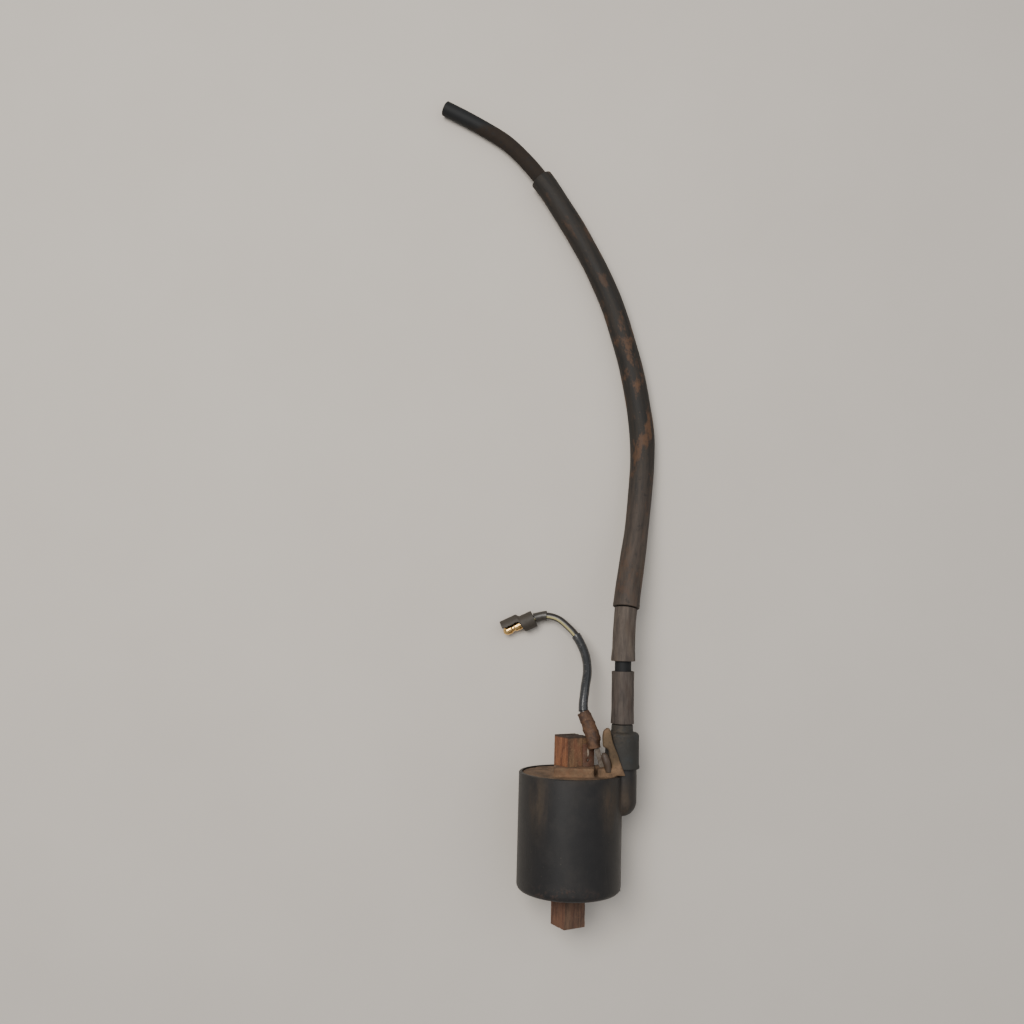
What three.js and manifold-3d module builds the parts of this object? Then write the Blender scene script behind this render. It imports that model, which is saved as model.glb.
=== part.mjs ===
// Ignition coil with its high-tension lead: a round moulded case on its side, a
// laminated core through it, a lead tower at its edge, and a short primary wire.
// Millimetres. +Y runs along the coil's axis towards the lead, +X to the tower's
// side, +Z up. The case lies on the plane z = 0.
import * as THREE from "three";
import { mergeVertices } from "three/addons/utils/BufferGeometryUtils.js";
import Module from "manifold-3d";

const wasm = await Module();
wasm.setup();

// ---- driving dimensions ----
const GAP = 0.3; // running and moulding clearance between neighbours

const CASE_R = 21.7; // outer radius of the case
const CASE_LOW = -26; // closed end
const CASE_HIGH = 21.7; // open, potted end
const CASE_WALL = 1.3;
const CASE_FLOOR = 2.3;
const CASE_EDGE_R = 2.4; // rounding of the closed end's rim
const CASE_LIP = 0.4; // chamfer of the open end's rim
const AXIS_Z = CASE_R; // height of the coil's axis above the surface

const CORE_SIDE = 10.2; // square section of the stack
const CORE_LOW = -40.5;
const CORE_HIGH = 37;
const CORE_PLATES = 20;
const CORE_TURN = THREE.MathUtils.degToRad(31); // turn of the stack about the axis
const PLATE_SEAM = 0.06; // varnish seam between two plates

const POT_HIGH = 21.2; // level of the resin in the open end
const POT_CAP = 2.2; // resin over the bobbins
const PAD_HIGH = 24.8; // top of the pad cast round the core's foot
// The pad in plan: X, and Z from the coil's axis.
const PAD_PLAN = [
  [-7.6, 11],
  [9, 11],
  [9.9, 4],
  [9.9, -6],
  [-4.5, -6],
  [-7, 0],
];
const GUSSET_Z = [19, 31.4]; // resin built up beside the tower

const PRIMARY_BORE = CORE_SIDE + 2 * GAP; // square bore over the core
const PRIMARY_TUBE_R = 8.4;
const PRIMARY_FLANGE_R = 11.1;
const PRIMARY_WIRE_R = [8.7, 10.3]; // inner and outer radius of the thick winding
const PAPER_R = [10.6, 11]; // the insulation wrapped over it
const PRIMARY_LOW = -23.2;
const PRIMARY_HIGH = 18.6;
const SECONDARY_BORE_R = 11.6;
const SECONDARY_TUBE_R = 12.3;
const SECONDARY_FLANGE_R = 14.8;
const SECONDARY_LOW = -22.6;
const SECONDARY_HIGH = 17.4;
const SECONDARY_SECTIONS = 3;
const FLANGE = 1.2; // thickness of every bobbin flange

const LINK_R = 0.5; // link from the winding to the tower's screw
const LINK_HOLE_R = 0.85;
const LINK_Y = 11.8;

const TOWER_X = 21.4; // the lead's axis, level with the case's skin
const TOWER_Z = 22.7;
const TOWER_R = 6.3;
const TOWER_LOW = 4.5; // tip of the tower's round end
const TOWER_HIGH = 36;
const TOWER_BORE_R = 3.95;
const TOWER_BORE_LOW = 13.5;
const SCREW_SEAT_R = 2.5;
const SCREW_SEAT_LOW = 10.3;
const SCREW_SPIKE_R = 0.95;

const BOOT_LOW = 24.1;
const BOOT_HIGH = 39;
const BOOT_R = 7.15;
const BOOT_LIP_R = 7.35;
const BOOT_NECK_R = 4.6;
const BOOT_EDGE_R = 1.3;
const BOOT_NECK_HIGH = 42.1;

const LEAD_R = 3.5; // 7 mm high-tension lead
const LEAD_BORE_R = 1.3;
const LEAD_CONDUCTOR_R = 0.9;
const CONDUCTOR_LOW = 21;
const LEAD_SIDES = 12;
const LEAD_STEP = 10;
const SLEEVE_BORE_R = 3.9;
const LOWER_SLEEVE = { low: 42.4, high: 64.3, r: 4.75 };
const MIDDLE_SLEEVE = { low: 68.5, high: 90.8, r: 4.85 };
const LONG_SLEEVE = { low: 91.2, high: 289.1, r: 5.4 };

const WIRE_R = 1.5; // primary wire
const WIRE_SIDES = 8;
const WIRE_STEP = 4;
const WIRE_BORE_R = 0.95;
const WIRE_CONDUCTOR_R = 0.75;
const WIRE_SLEEVE_BORE_R = 1.75;
const WIRE_SLEEVE_R = 2.05;
const LONG_WIRE_SLEEVE = [0.102, 0.6]; // fractions of the primary wire's length
const SHORT_WIRE_SLEEVE = [0.833, 0.91];

const BULLET_R = 1.95; // bullet terminal, crimped on the primary wire
const BULLET_GROOVE = 0.45;
const BARREL_BORE_R = 1.7;
const BARREL_LOW = -3; // measured from the wire's end towards the tip
const COVER_BORE_R = 2.3; // the terminal's cover
const COVER_COLLAR = { low: -6.1, high: 0.1, r: 3.75 };
const COVER_SHELL_R = 3.35;
const COVER_SPLIT = 0.4; // how far past its middle the shell is torn away
const COVER_SPLIT_TURN = THREE.MathUtils.degToRad(200);

// The earth tag, in the core's own turned frame; its root under the resin is thinner.
const TAG = { left: 1.9, right: 7.6, low: 20.6, high: 34, foot: 5.6, thick: 0.8 };
const TAG_ROOT = { high: 25.2, relief: 0.1 };
const TAG_HOLE = { x: 4.35, y: 27.2, r: 0.65 };

const STRIP_WIDE = 2.1;
const STRIP_THICK = 0.6;
const WRAP_SECTION = [2.3, 3]; // half axes, upright and flat
const WRAP_BORE = [1.75, 2.4];
const TAIL_SLEEVE_R = 1.5; // sleeve on the start of the winding
const TAIL_BORE_R = 0.8;
const TAIL_WIRE_R = 0.45;

// The lead's centreline, from the foot of the tower's bore to its cut end.
const LEAD_ROUTE = [
  [21.4, 14, 22.7],
  [21.4, 30, 22.7],
  [21.4, 46, 22.7],
  [21.4, 60.4, 22.7],
  [21.4, 72.4, 22.6],
  [21.8, 81.4, 21.5],
  [23.3, 96.8, 18.8],
  [25.5, 110.8, 15],
  [27.7, 125.2, 11.3],
  [29.5, 141.3, 8.1],
  [30.6, 157.7, 6.2],
  [30.2, 171.1, 5.6],
  [28, 185.5, 5.5],
  [24.6, 201.6, 5.5],
  [20.1, 217.2, 5.5],
  [15, 231.8, 5.5],
  [8.5, 246.3, 5.5],
  [0.7, 260.6, 5.5],
  [-7.9, 274.5, 5.5],
  [-17, 287.9, 5.5],
  [-26.2, 299.4, 3.9],
  [-34.7, 307.4, 3.6],
  [-44, 313.3, 3.6],
  [-54.1, 318.8, 3.6],
  [-64.2, 323.8, 3.6],
];

// The primary wire's centreline, from inside the wrap to the bullet terminal.
const WIRE_ROUTE = [
  [7.4, 40.7, 24.8],
  [5.4, 44.5, 23.7],
  [4.8, 49, 22.4],
  [5.7, 56.7, 19.8],
  [6.8, 64.8, 15.6],
  [5.7, 71.3, 12.2],
  [2.4, 78.1, 8.6],
  [-1.2, 82.1, 6.6],
  [-5.9, 85.7, 4.9],
  [-10.8, 86.8, 4.2],
  [-14.9, 86.1, 4],
  [-18.4, 84.5, 4],
  [-21.9, 82.8, 3.85],
];
const BULLET_TIP = [-29.8, 78.9, 3.45];

// The wrap round the joint between the wire and the terminal strip.
const WRAP_ROUTE = [
  [9.6, 32.6, 26.7],
  [8.5, 37.4, 26],
  [7.1, 41.6, 24.7],
  [5.1, 46.4, 23.2],
];
const STRIP_ROUTE = [
  [12.9, 20, 26.9],
  [12.6, 25, 26.9],
  [11.3, 29.5, 26.9],
  [10.3, 33.2, 26.8],
  [9.6, 36.6, 26.3],
];
const TAIL_ROUTE = [
  [15.3, 19.6, 29.9],
  [14.7, 25.8, 31],
  [12.8, 31.3, 31.2],
];

// ---- colours ----
const look = (color, roughness, metalness) =>
  new THREE.MeshStandardMaterial({ color, roughness, metalness });
const LOOKS = {
  case: look(0x303234, 0.5, 0),
  resin: look(0x8f765a, 0.9, 0),
  core: look(0x8d5436, 0.85, 0.2),
  bobbin: look(0xb9b2a0, 0.7, 0),
  copper: look(0xa5603a, 0.45, 0.9),
  paper: look(0xc2a878, 0.9, 0),
  brass: look(0xc8a15a, 0.35, 0.9),
  tin: look(0xa9a59c, 0.4, 0.9),
  rust: look(0x7a4a30, 0.9, 0.2),
  boot: look(0x383a3b, 0.75, 0),
  lead: look(0x24221f, 0.5, 0),
  sleeve: look(0x564c44, 0.85, 0),
  longSleeve: look(0x3b322b, 0.8, 0),
  wire: look(0x2b2c2b, 0.45, 0),
  wireSleeve: look(0x3a3c3e, 0.4, 0),
};

// ---- solids from three.js geometry ----
function solid(geometry) {
  const bare = new THREE.BufferGeometry();
  bare.setAttribute("position", geometry.getAttribute("position").clone());
  if (geometry.index) bare.setIndex(geometry.index.clone());
  const merged = mergeVertices(bare, 1e-4);
  return new wasm.Manifold(
    new wasm.Mesh({
      numProp: 3,
      vertProperties: new Float32Array(merged.attributes.position.array),
      triVerts: new Uint32Array(merged.index.array),
    }),
  );
}

function geometryOf(manifold) {
  const mesh = manifold.getMesh();
  const geometry = new THREE.BufferGeometry();
  geometry.setAttribute("position", new THREE.BufferAttribute(mesh.vertProperties, 3));
  geometry.setIndex(new THREE.BufferAttribute(mesh.triVerts, 1));
  return geometry;
}

const cut = (base, tools) => tools.reduce((rest, tool) => rest.subtract(tool), base);

// A solid of revolution about the Y axis through (x, z), from [radius, y] pairs.
function turned(profile, sides, x = 0, z = 0) {
  const points = profile.map(([r, y]) => new THREE.Vector2(r, y));
  return new THREE.LatheGeometry(points, sides).translate(x, 0, z);
}

// A ring about the Y axis, its profile closed on itself.
function ring(inner, outer, low, high, sides = 24) {
  return turned([[inner, low], [outer, low], [outer, high], [inner, high], [inner, low]], sides);
}

// A plain cylinder about the Y axis through (x, z).
function rod(radius, low, high, x = 0, z = 0, sides = 24) {
  return turned([[0, low], [radius, low], [radius, high], [0, high]], sides, x, z);
}

// A block with a square section about the Y axis, turned with the core.
function coreBlock(side, low, high) {
  const block = new THREE.BoxGeometry(side, high - low, side);
  return block.translate(0, (low + high) / 2, 0).rotateY(CORE_TURN);
}

// Points of an arc of a profile: centre, radius, start and end angle in degrees.
function arc(centreR, centreY, radius, from, to, steps) {
  return Array.from({ length: steps + 1 }, (_, i) => {
    const angle = THREE.MathUtils.degToRad(from + ((to - from) * i) / steps);
    return [centreR + radius * Math.cos(angle), centreY + radius * Math.sin(angle)];
  });
}

// ---- curves ----
const curveThrough = (points) =>
  new THREE.CatmullRomCurve3(points.map((p) => new THREE.Vector3(...p)), false, "centripetal");

// The stretch of a longer curve between two fractions of its length.
class Stretch extends THREE.Curve {
  constructor(whole, from, to) {
    super();
    this.whole = whole;
    this.from = from;
    this.to = to;
  }
  getPoint(t, target = new THREE.Vector3()) {
    return this.whole.getPointAt(this.from + (this.to - this.from) * t, target);
  }
}

// The fraction of a curve's length at which it reaches a height along Y.
function fractionAtY(curve, y) {
  let low = 0;
  let high = 1;
  for (let i = 0; i < 40; i += 1) {
    const middle = (low + high) / 2;
    if (curve.getPointAt(middle).y < y) low = middle;
    else high = middle;
  }
  return (low + high) / 2;
}

const polygon = (radius, sides) =>
  Array.from({ length: sides }, (_, i) => {
    const angle = ((i + 0.5) / sides) * 2 * Math.PI;
    return new THREE.Vector2(radius * Math.cos(angle), radius * Math.sin(angle));
  });

// A section swept along a curve; hole is the outline of its bore, if it has one.
function swept(curve, outline, steps, hole) {
  const shape = new THREE.Shape(outline);
  if (hole) shape.holes.push(new THREE.Path(hole));
  const options = { steps, bevelEnabled: false, extrudePath: curve };
  return new THREE.ExtrudeGeometry(shape, options);
}

const stepsFor = (curve, step) => Math.max(2, Math.round(curve.getLength() / step));

// ---- the assembly ----
const assembly = new THREE.Group();
const wound = new THREE.Group(); // everything about the coil's own axis
wound.position.z = AXIS_Z;
assembly.add(wound);

function add(name, geometry, material, parent = assembly) {
  const mesh = new THREE.Mesh(geometry, material);
  mesh.name = name;
  parent.add(mesh);
  return mesh;
}

// The tower, in the wound group's frame, where its axis is TOWER_X, TOWER_Z - AXIS_Z.
const towerZ = TOWER_Z - AXIS_Z;
const towerRod = (radius, low, high, sides = 28) => rod(radius, low, high, TOWER_X, towerZ, sides);

function coilCase() {
  const inner = CASE_R - CASE_WALL;
  const shell = turned(
    [
      [0, CASE_LOW],
      ...arc(CASE_R - CASE_EDGE_R, CASE_LOW + CASE_EDGE_R, CASE_EDGE_R, -90, 0, 5),
      [CASE_R, CASE_HIGH - CASE_LIP],
      [CASE_R - CASE_LIP, CASE_HIGH],
      [inner, CASE_HIGH],
      [inner, CASE_LOW + CASE_FLOOR],
      [0, CASE_LOW + CASE_FLOOR],
    ],
    48,
  );
  const tower = turned(
    [...arc(0, TOWER_LOW + TOWER_R, TOWER_R, -90, 0, 6), [TOWER_R, TOWER_HIGH], [0, TOWER_HIGH]],
    28,
    TOWER_X,
    towerZ,
  );
  return geometryOf(
    cut(solid(shell).add(solid(tower)), [
      solid(towerRod(TOWER_BORE_R, TOWER_BORE_LOW, TOWER_HIGH + 1)),
      solid(towerRod(SCREW_SEAT_R, SCREW_SEAT_LOW, TOWER_BORE_LOW + 1)),
      solid(coreBlock(CORE_SIDE + 2 * GAP, CASE_LOW - 1, CASE_LOW + CASE_FLOOR + 1)),
      solid(linkRod(LINK_HOLE_R, SECONDARY_FLANGE_R, TOWER_X)),
    ]),
  );
}

// The short link that carries the high tension from the winding to the tower's screw.
function linkRod(radius, from, to) {
  const link = new THREE.CylinderGeometry(radius, radius, to - from, 12).rotateZ(Math.PI / 2);
  return link.translate((from + to) / 2, LINK_Y, towerZ);
}

// The resin in the open end, the pad round the core's foot and the build-up at the tower.
function pottingResin() {
  const inner = CASE_R - CASE_WALL - GAP;
  const low = CASE_LOW + CASE_FLOOR + GAP;
  const bobbinRoom = SECONDARY_FLANGE_R + GAP;
  const body = solid(rod(inner, low, POT_HIGH, 0, 0, 48));
  return geometryOf(
    cut(body.add(solid(pad())).add(solid(gusset())), [
      solid(rod(bobbinRoom, low - 1, POT_HIGH - POT_CAP, 0, 0, 48)),
      solid(coreBlock(CORE_SIDE + 2 * GAP, POT_HIGH - 2 * POT_CAP, PAD_HIGH + 1)),
      solid(towerRod(TOWER_R + GAP, TOWER_LOW - 1, TOWER_HIGH + 10)),
      solid(towerRod(BOOT_LIP_R + GAP, POT_HIGH, TOWER_HIGH + 10)),
      solid(ring(inner, 2 * CASE_R, CASE_LOW - 1, CASE_HIGH + GAP, 48)),
      solid(linkRod(LINK_HOLE_R, SECONDARY_FLANGE_R, TOWER_X)),
      solid(tagBlock(POT_HIGH - POT_CAP - 1, TAG.high, GAP)),
      solid(swept(curveThrough(STRIP_ROUTE.map(toWound)), stripSection(GAP), 8)),
      solid(swept(curveThrough(TAIL_ROUTE.map(toWound)), polygon(TAIL_SLEEVE_R + GAP, 12), 4)),
    ]),
  );
}

const toWound = ([x, y, z]) => [x, y, z - AXIS_Z];

// The pad round the core's foot, its front square to the case.
function pad() {
  const low = POT_HIGH - POT_CAP / 2;
  const plan = new THREE.Shape(PAD_PLAN.map(([x, z]) => new THREE.Vector2(x, -z)));
  const block = new THREE.ExtrudeGeometry(plan, { depth: PAD_HIGH - low, bevelEnabled: false });
  return block.rotateX(-Math.PI / 2).translate(0, low, 0);
}

// The build-up's outline in plan: a foot round the winding's start, then a wall with a
// rounded top beside the tower's cap.
function gusset() {
  const outline = new THREE.Shape();
  outline.moveTo(10.7, POT_HIGH - 1);
  outline.lineTo(10.7, 24.7);
  outline.quadraticCurveTo(14.9, 25, 15.2, 26.6);
  outline.lineTo(15.2, 31.6);
  outline.quadraticCurveTo(14.8, 33.2, 12.7, 33.4);
  outline.lineTo(12.6, 38.1);
  outline.bezierCurveTo(12.7, 40.3, 13.9, 41.3, 15.5, 41.1);
  outline.quadraticCurveTo(15.9, 38.9, 16.4, 36.9);
  outline.quadraticCurveTo(17.3, 33.6, 18.9, 30.6);
  outline.quadraticCurveTo(20.2, 26.7, 22, 22.6);
  outline.lineTo(22, POT_HIGH - 1);
  const depth = GUSSET_Z[1] - GUSSET_Z[0];
  const options = { depth, bevelEnabled: false, curveSegments: 4 };
  return new THREE.ExtrudeGeometry(outline, options).translate(0, 0, GUSSET_Z[0] - AXIS_Z);
}

// The flat tag that stands beside the core's broad face, with a small hole through it.
function tagBlock(low, high, clearance) {
  const width = TAG.right - TAG.left + 2 * clearance;
  const block = new THREE.BoxGeometry(width, high - low, TAG.thick + 2 * clearance);
  const middle = (TAG.left + TAG.right) / 2;
  block.translate(middle, (low + high) / 2, TAG.foot + TAG.thick / 2);
  return block.rotateY(CORE_TURN);
}
function earthTag() {
  const blade = solid(tagBlock(TAG_ROOT.high, TAG.high, 0));
  const root = solid(tagBlock(TAG.low, TAG_ROOT.high + 1, -TAG_ROOT.relief));
  const hole = new THREE.CylinderGeometry(TAG_HOLE.r, TAG_HOLE.r, 4, 16).rotateX(Math.PI / 2);
  hole.translate(TAG_HOLE.x, TAG_HOLE.y, TAG.foot).rotateY(CORE_TURN);
  return geometryOf(cut(blade.add(root), [solid(hole)]));
}

const stripSection = (clearance) => {
  const halfThick = STRIP_THICK / 2 + clearance;
  const halfWide = STRIP_WIDE / 2 + clearance;
  return [
    new THREE.Vector2(-halfThick, -halfWide),
    new THREE.Vector2(halfThick, -halfWide),
    new THREE.Vector2(halfThick, halfWide),
    new THREE.Vector2(-halfThick, halfWide),
  ];
};

// A bobbin: a tube with square or round bore and flanges at the given places.
function bobbin(bore, tubeR, flangeR, flanges) {
  const low = flanges[0];
  const high = flanges[flanges.length - 1] + FLANGE;
  const whole = flanges.reduce(
    (body, y) => body.add(solid(rod(flangeR, y, y + FLANGE))),
    solid(rod(tubeR, low, high)),
  );
  return geometryOf(cut(whole, [bore]));
}

function windings() {
  const primaryBore = solid(coreBlock(PRIMARY_BORE, PRIMARY_LOW - 1, PRIMARY_HIGH + 1));
  const primaryFlanges = [PRIMARY_LOW, PRIMARY_HIGH - FLANGE];
  const primary = bobbin(primaryBore, PRIMARY_TUBE_R, PRIMARY_FLANGE_R, primaryFlanges);
  add("primary_bobbin", primary, LOOKS.bobbin, wound);
  const low = PRIMARY_LOW + FLANGE + GAP;
  const high = PRIMARY_HIGH - FLANGE - GAP;
  add("primary_winding", ring(...PRIMARY_WIRE_R, low, high), LOOKS.copper, wound);
  add("primary_insulation", ring(...PAPER_R, low, high), LOOKS.paper, wound);

  const pitch = (SECONDARY_HIGH - SECONDARY_LOW - FLANGE) / SECONDARY_SECTIONS;
  const flanges = Array.from({ length: SECONDARY_SECTIONS + 1 }, (_, i) => SECONDARY_LOW + i * pitch);
  const secondaryBore = solid(rod(SECONDARY_BORE_R, SECONDARY_LOW - 1, SECONDARY_HIGH + 1));
  const secondary = bobbin(secondaryBore, SECONDARY_TUBE_R, SECONDARY_FLANGE_R, flanges);
  add("secondary_bobbin", secondary, LOOKS.bobbin, wound);
  for (let i = 0; i < SECONDARY_SECTIONS; i += 1) {
    const from = flanges[i] + FLANGE + GAP;
    const to = flanges[i + 1] - GAP;
    const section = ring(SECONDARY_TUBE_R + GAP, SECONDARY_FLANGE_R - GAP, from, to);
    add(`secondary_winding_${i + 1}`, section, LOOKS.copper, wound);
  }
}

// The core's plates, stacked across the square section.
function corePlates() {
  const pitch = CORE_SIDE / CORE_PLATES;
  const length = CORE_HIGH - CORE_LOW;
  const stack = new THREE.Group();
  stack.rotation.y = CORE_TURN;
  wound.add(stack);
  for (let i = 0; i < CORE_PLATES; i += 1) {
    const plate = new THREE.BoxGeometry(CORE_SIDE, length, pitch - PLATE_SEAM);
    const name = `core_plate_${String(i + 1).padStart(2, "0")}`;
    const mesh = add(name, plate, LOOKS.core, stack);
    mesh.position.set(0, (CORE_LOW + CORE_HIGH) / 2, (i - (CORE_PLATES - 1) / 2) * pitch);
  }
}

// The brass screw in the tower's foot, its spike up the middle of the lead.
function terminalScrew() {
  const profile = [
    [0, SCREW_SEAT_LOW + GAP],
    [SCREW_SEAT_R - GAP, SCREW_SEAT_LOW + GAP],
    [SCREW_SEAT_R - GAP, TOWER_BORE_LOW],
    [SCREW_SPIKE_R, TOWER_BORE_LOW + 0.2],
    [SCREW_SPIKE_R, CONDUCTOR_LOW - 2],
    [0.2, CONDUCTOR_LOW - GAP],
    [0, CONDUCTOR_LOW - GAP],
  ];
  return turned(profile, 16, TOWER_X, TOWER_Z);
}

// The rubber cap over the tower, with a stepped neck round the lead.
function towerCap() {
  const profile = [
    [TOWER_R + GAP, BOOT_LOW],
    [BOOT_LIP_R, BOOT_LOW],
    [BOOT_LIP_R, BOOT_LOW + 1.2],
    [BOOT_R, BOOT_LOW + 1.6],
    ...arc(BOOT_R - BOOT_EDGE_R, BOOT_HIGH - BOOT_EDGE_R, BOOT_EDGE_R, 0, 90, 3),
    [BOOT_NECK_R, BOOT_HIGH],
    [BOOT_NECK_R, BOOT_NECK_HIGH],
    [SLEEVE_BORE_R, BOOT_NECK_HIGH],
    [SLEEVE_BORE_R, TOWER_HIGH + 2 * GAP],
    [TOWER_R + GAP, TOWER_HIGH + 2 * GAP],
    [TOWER_R + GAP, BOOT_LOW],
  ];
  return turned(profile, 28, TOWER_X, TOWER_Z);
}

function leadAndSleeves() {
  const route = curveThrough(LEAD_ROUTE);
  route.arcLengthDivisions = 2000;
  const steps = stepsFor(route, LEAD_STEP);
  const section = polygon(LEAD_R, LEAD_SIDES);
  add("ht_lead", swept(route, section, steps, polygon(LEAD_BORE_R, 8)), LOOKS.lead);
  const conductor = new Stretch(route, fractionAtY(route, CONDUCTOR_LOW), 1);
  const conductorSteps = stepsFor(conductor, LEAD_STEP);
  add("ht_conductor", swept(conductor, polygon(LEAD_CONDUCTOR_R, 6), conductorSteps), LOOKS.copper);
  const sleeves = [
    ["guard_sleeve_lower", LOWER_SLEEVE, LOOKS.sleeve],
    ["guard_sleeve_middle", MIDDLE_SLEEVE, LOOKS.sleeve],
    ["guard_sleeve_long", LONG_SLEEVE, LOOKS.longSleeve],
  ];
  for (const [name, { low, high, r }, material] of sleeves) {
    const run = new Stretch(route, fractionAtY(route, low), fractionAtY(route, high));
    const bore = polygon(SLEEVE_BORE_R, LEAD_SIDES);
    add(name, swept(run, polygon(r, LEAD_SIDES), stepsFor(run, LEAD_STEP), bore), material);
  }
}

function primaryWire() {
  const route = curveThrough(WIRE_ROUTE);
  route.arcLengthDivisions = 1000;
  const steps = stepsFor(route, WIRE_STEP);
  const section = polygon(WIRE_R, WIRE_SIDES);
  add("primary_wire", swept(route, section, steps, polygon(WIRE_BORE_R, WIRE_SIDES)), LOOKS.wire);
  add("primary_conductor", swept(route, polygon(WIRE_CONDUCTOR_R, 6), steps), LOOKS.copper);
  const sleeve = ([from, to]) => {
    const run = new Stretch(route, from, to);
    const bore = polygon(WIRE_SLEEVE_BORE_R, WIRE_SIDES);
    return swept(run, polygon(WIRE_SLEEVE_R, WIRE_SIDES), stepsFor(run, WIRE_STEP), bore);
  };
  add("primary_sleeve_long", sleeve(LONG_WIRE_SLEEVE), LOOKS.wireSleeve);
  add("primary_sleeve_short", sleeve(SHORT_WIRE_SLEEVE), LOOKS.wireSleeve);
}

// The bullet terminal and its split cover, about the line from the wire's end to the tip.
function bulletTerminal() {
  const tip = new THREE.Vector3(...BULLET_TIP);
  const end = new THREE.Vector3(...WIRE_ROUTE[WIRE_ROUTE.length - 1]);
  const length = tip.distanceTo(end);
  const place = new THREE.Group();
  place.position.copy(end);
  place.quaternion.setFromUnitVectors(
    new THREE.Vector3(0, 1, 0),
    tip.clone().sub(end).normalize(),
  );
  assembly.add(place);
  const profile = [
    [0, GAP],
    [BARREL_BORE_R, GAP],
    [BARREL_BORE_R, BARREL_LOW],
    [BULLET_R, BARREL_LOW],
    [BULLET_R, length - 5.6],
    [BULLET_R - BULLET_GROOVE, length - 5],
    [BULLET_R - BULLET_GROOVE, length - 4.4],
    [BULLET_R, length - 3.8],
    ...arc(0, length - BULLET_R, BULLET_R, 0, 90, 5),
  ];
  add("bullet_terminal", turned(profile, 16), LOOKS.brass, place);
  const { low, high, r } = COVER_COLLAR;
  const collar = solid(ring(COVER_BORE_R, r, low, high));
  const shell = solid(ring(COVER_BORE_R, COVER_SHELL_R, high - 0.5, length + 0.4));
  const split = new THREE.BoxGeometry(4 * r, length + 4, 4 * r);
  split.translate(2 * r - COVER_SPLIT, high + length / 2 + 2, 0).rotateY(COVER_SPLIT_TURN);
  const cover = collar.add(cut(shell, [solid(split)]));
  add("bullet_cover", geometryOf(cover), LOOKS.wireSleeve, place);
}

// The wrap, the strip it holds, and the sleeved start of the winding.
const ellipse = ([a, b], sides) =>
  Array.from({ length: sides }, (_, i) => {
    const angle = ((i + 0.5) / sides) * 2 * Math.PI;
    return new THREE.Vector2(a * Math.cos(angle), b * Math.sin(angle));
  });
function joint() {
  const wrap = curveThrough(WRAP_ROUTE);
  add("terminal_wrap", swept(wrap, ellipse(WRAP_SECTION, 14), 6, ellipse(WRAP_BORE, 14)), LOOKS.rust);
  const strip = new Stretch(curveThrough(STRIP_ROUTE), 0.03, 1);
  add("terminal_strip", swept(strip, stripSection(0), 8), LOOKS.tin);
  const tail = curveThrough(TAIL_ROUTE);
  const sleeve = swept(tail, polygon(TAIL_SLEEVE_R, 12), 4, polygon(TAIL_BORE_R, 8));
  add("winding_tail_sleeve", sleeve, LOOKS.wireSleeve);
  const wire = new Stretch(tail, 0, 0.94);
  add("winding_tail", swept(wire, polygon(TAIL_WIRE_R, 6), 4), LOOKS.copper);
}

add("coil_case", coilCase(), LOOKS.case, wound);
add("potting_resin", pottingResin(), LOOKS.resin, wound);
corePlates();
windings();
add("ht_link", linkRod(LINK_R, SECONDARY_FLANGE_R + GAP, TOWER_X - SCREW_SEAT_R), LOOKS.copper, wound);
add("ht_terminal_screw", terminalScrew(), LOOKS.brass);
add("tower_cap", towerCap(), LOOKS.boot);
leadAndSleeves();
primaryWire();
bulletTerminal();
joint();
add("earth_tag", earthTag(), LOOKS.tin, wound);

// The origin lies on the surface under the middle of the rigid coil's own box.
const CORD_PIECES = /^(ht_lead|ht_conductor|guard_|primary_(wire|conductor|sleeve)|bullet_)/;
const rigidBox = new THREE.Box3();
assembly.updateMatrixWorld(true);
assembly.traverse((piece) => {
  if (piece.isMesh && !CORD_PIECES.test(piece.name)) rigidBox.expandByObject(piece, true);
});
const middle = rigidBox.getCenter(new THREE.Vector3());
assembly.position.set(-middle.x, -middle.y, 0);

export default assembly;
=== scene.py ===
"""Looks of an ignition coil with its high-tension lead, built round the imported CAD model."""
import random
from bisect import bisect_left
from math import acos, atan2, cos, exp, hypot, pi, radians, sin, tau

import bmesh
import bpy
from mathutils import Matrix, Vector, noise


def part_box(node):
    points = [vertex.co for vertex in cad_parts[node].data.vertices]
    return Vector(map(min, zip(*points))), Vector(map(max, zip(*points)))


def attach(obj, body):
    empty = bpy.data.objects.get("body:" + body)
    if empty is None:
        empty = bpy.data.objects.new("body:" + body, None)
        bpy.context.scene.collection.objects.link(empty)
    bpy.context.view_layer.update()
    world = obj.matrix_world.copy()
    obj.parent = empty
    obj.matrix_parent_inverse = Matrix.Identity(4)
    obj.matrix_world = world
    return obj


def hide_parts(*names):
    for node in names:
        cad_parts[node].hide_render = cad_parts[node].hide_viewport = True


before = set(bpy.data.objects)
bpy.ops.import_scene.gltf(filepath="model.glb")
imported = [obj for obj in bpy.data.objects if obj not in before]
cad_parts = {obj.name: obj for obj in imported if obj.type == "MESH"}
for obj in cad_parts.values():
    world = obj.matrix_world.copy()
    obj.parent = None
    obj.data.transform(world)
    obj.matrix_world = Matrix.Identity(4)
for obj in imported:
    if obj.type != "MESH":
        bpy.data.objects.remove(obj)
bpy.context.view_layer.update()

MM = 0.001

# ---- the coil's own axes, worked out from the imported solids, in millimetres ----
CASE_R = 21.7
CASE_WALL = 1.3
CORE_LOW = -40.5
CORE_HIGH = 37.0
CORE_SIDE = 10.2
CORE_PLATES = 20
CORE_TURN = Matrix.Rotation(radians(31), 3, "Y")
TOWER_X, TOWER_Z = 21.4, 22.7
ORIGIN = Vector((
    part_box("coil_case")[0].x + CASE_R * MM,
    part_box("core_plate_01")[0].y - CORE_LOW * MM,
    0.0,
))


def at(x, y, z):
    """A point given in millimetres from the coil's axis, middle and lying surface, in the row frame."""
    return ORIGIN + Vector((x, y, z)) * MM


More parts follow.
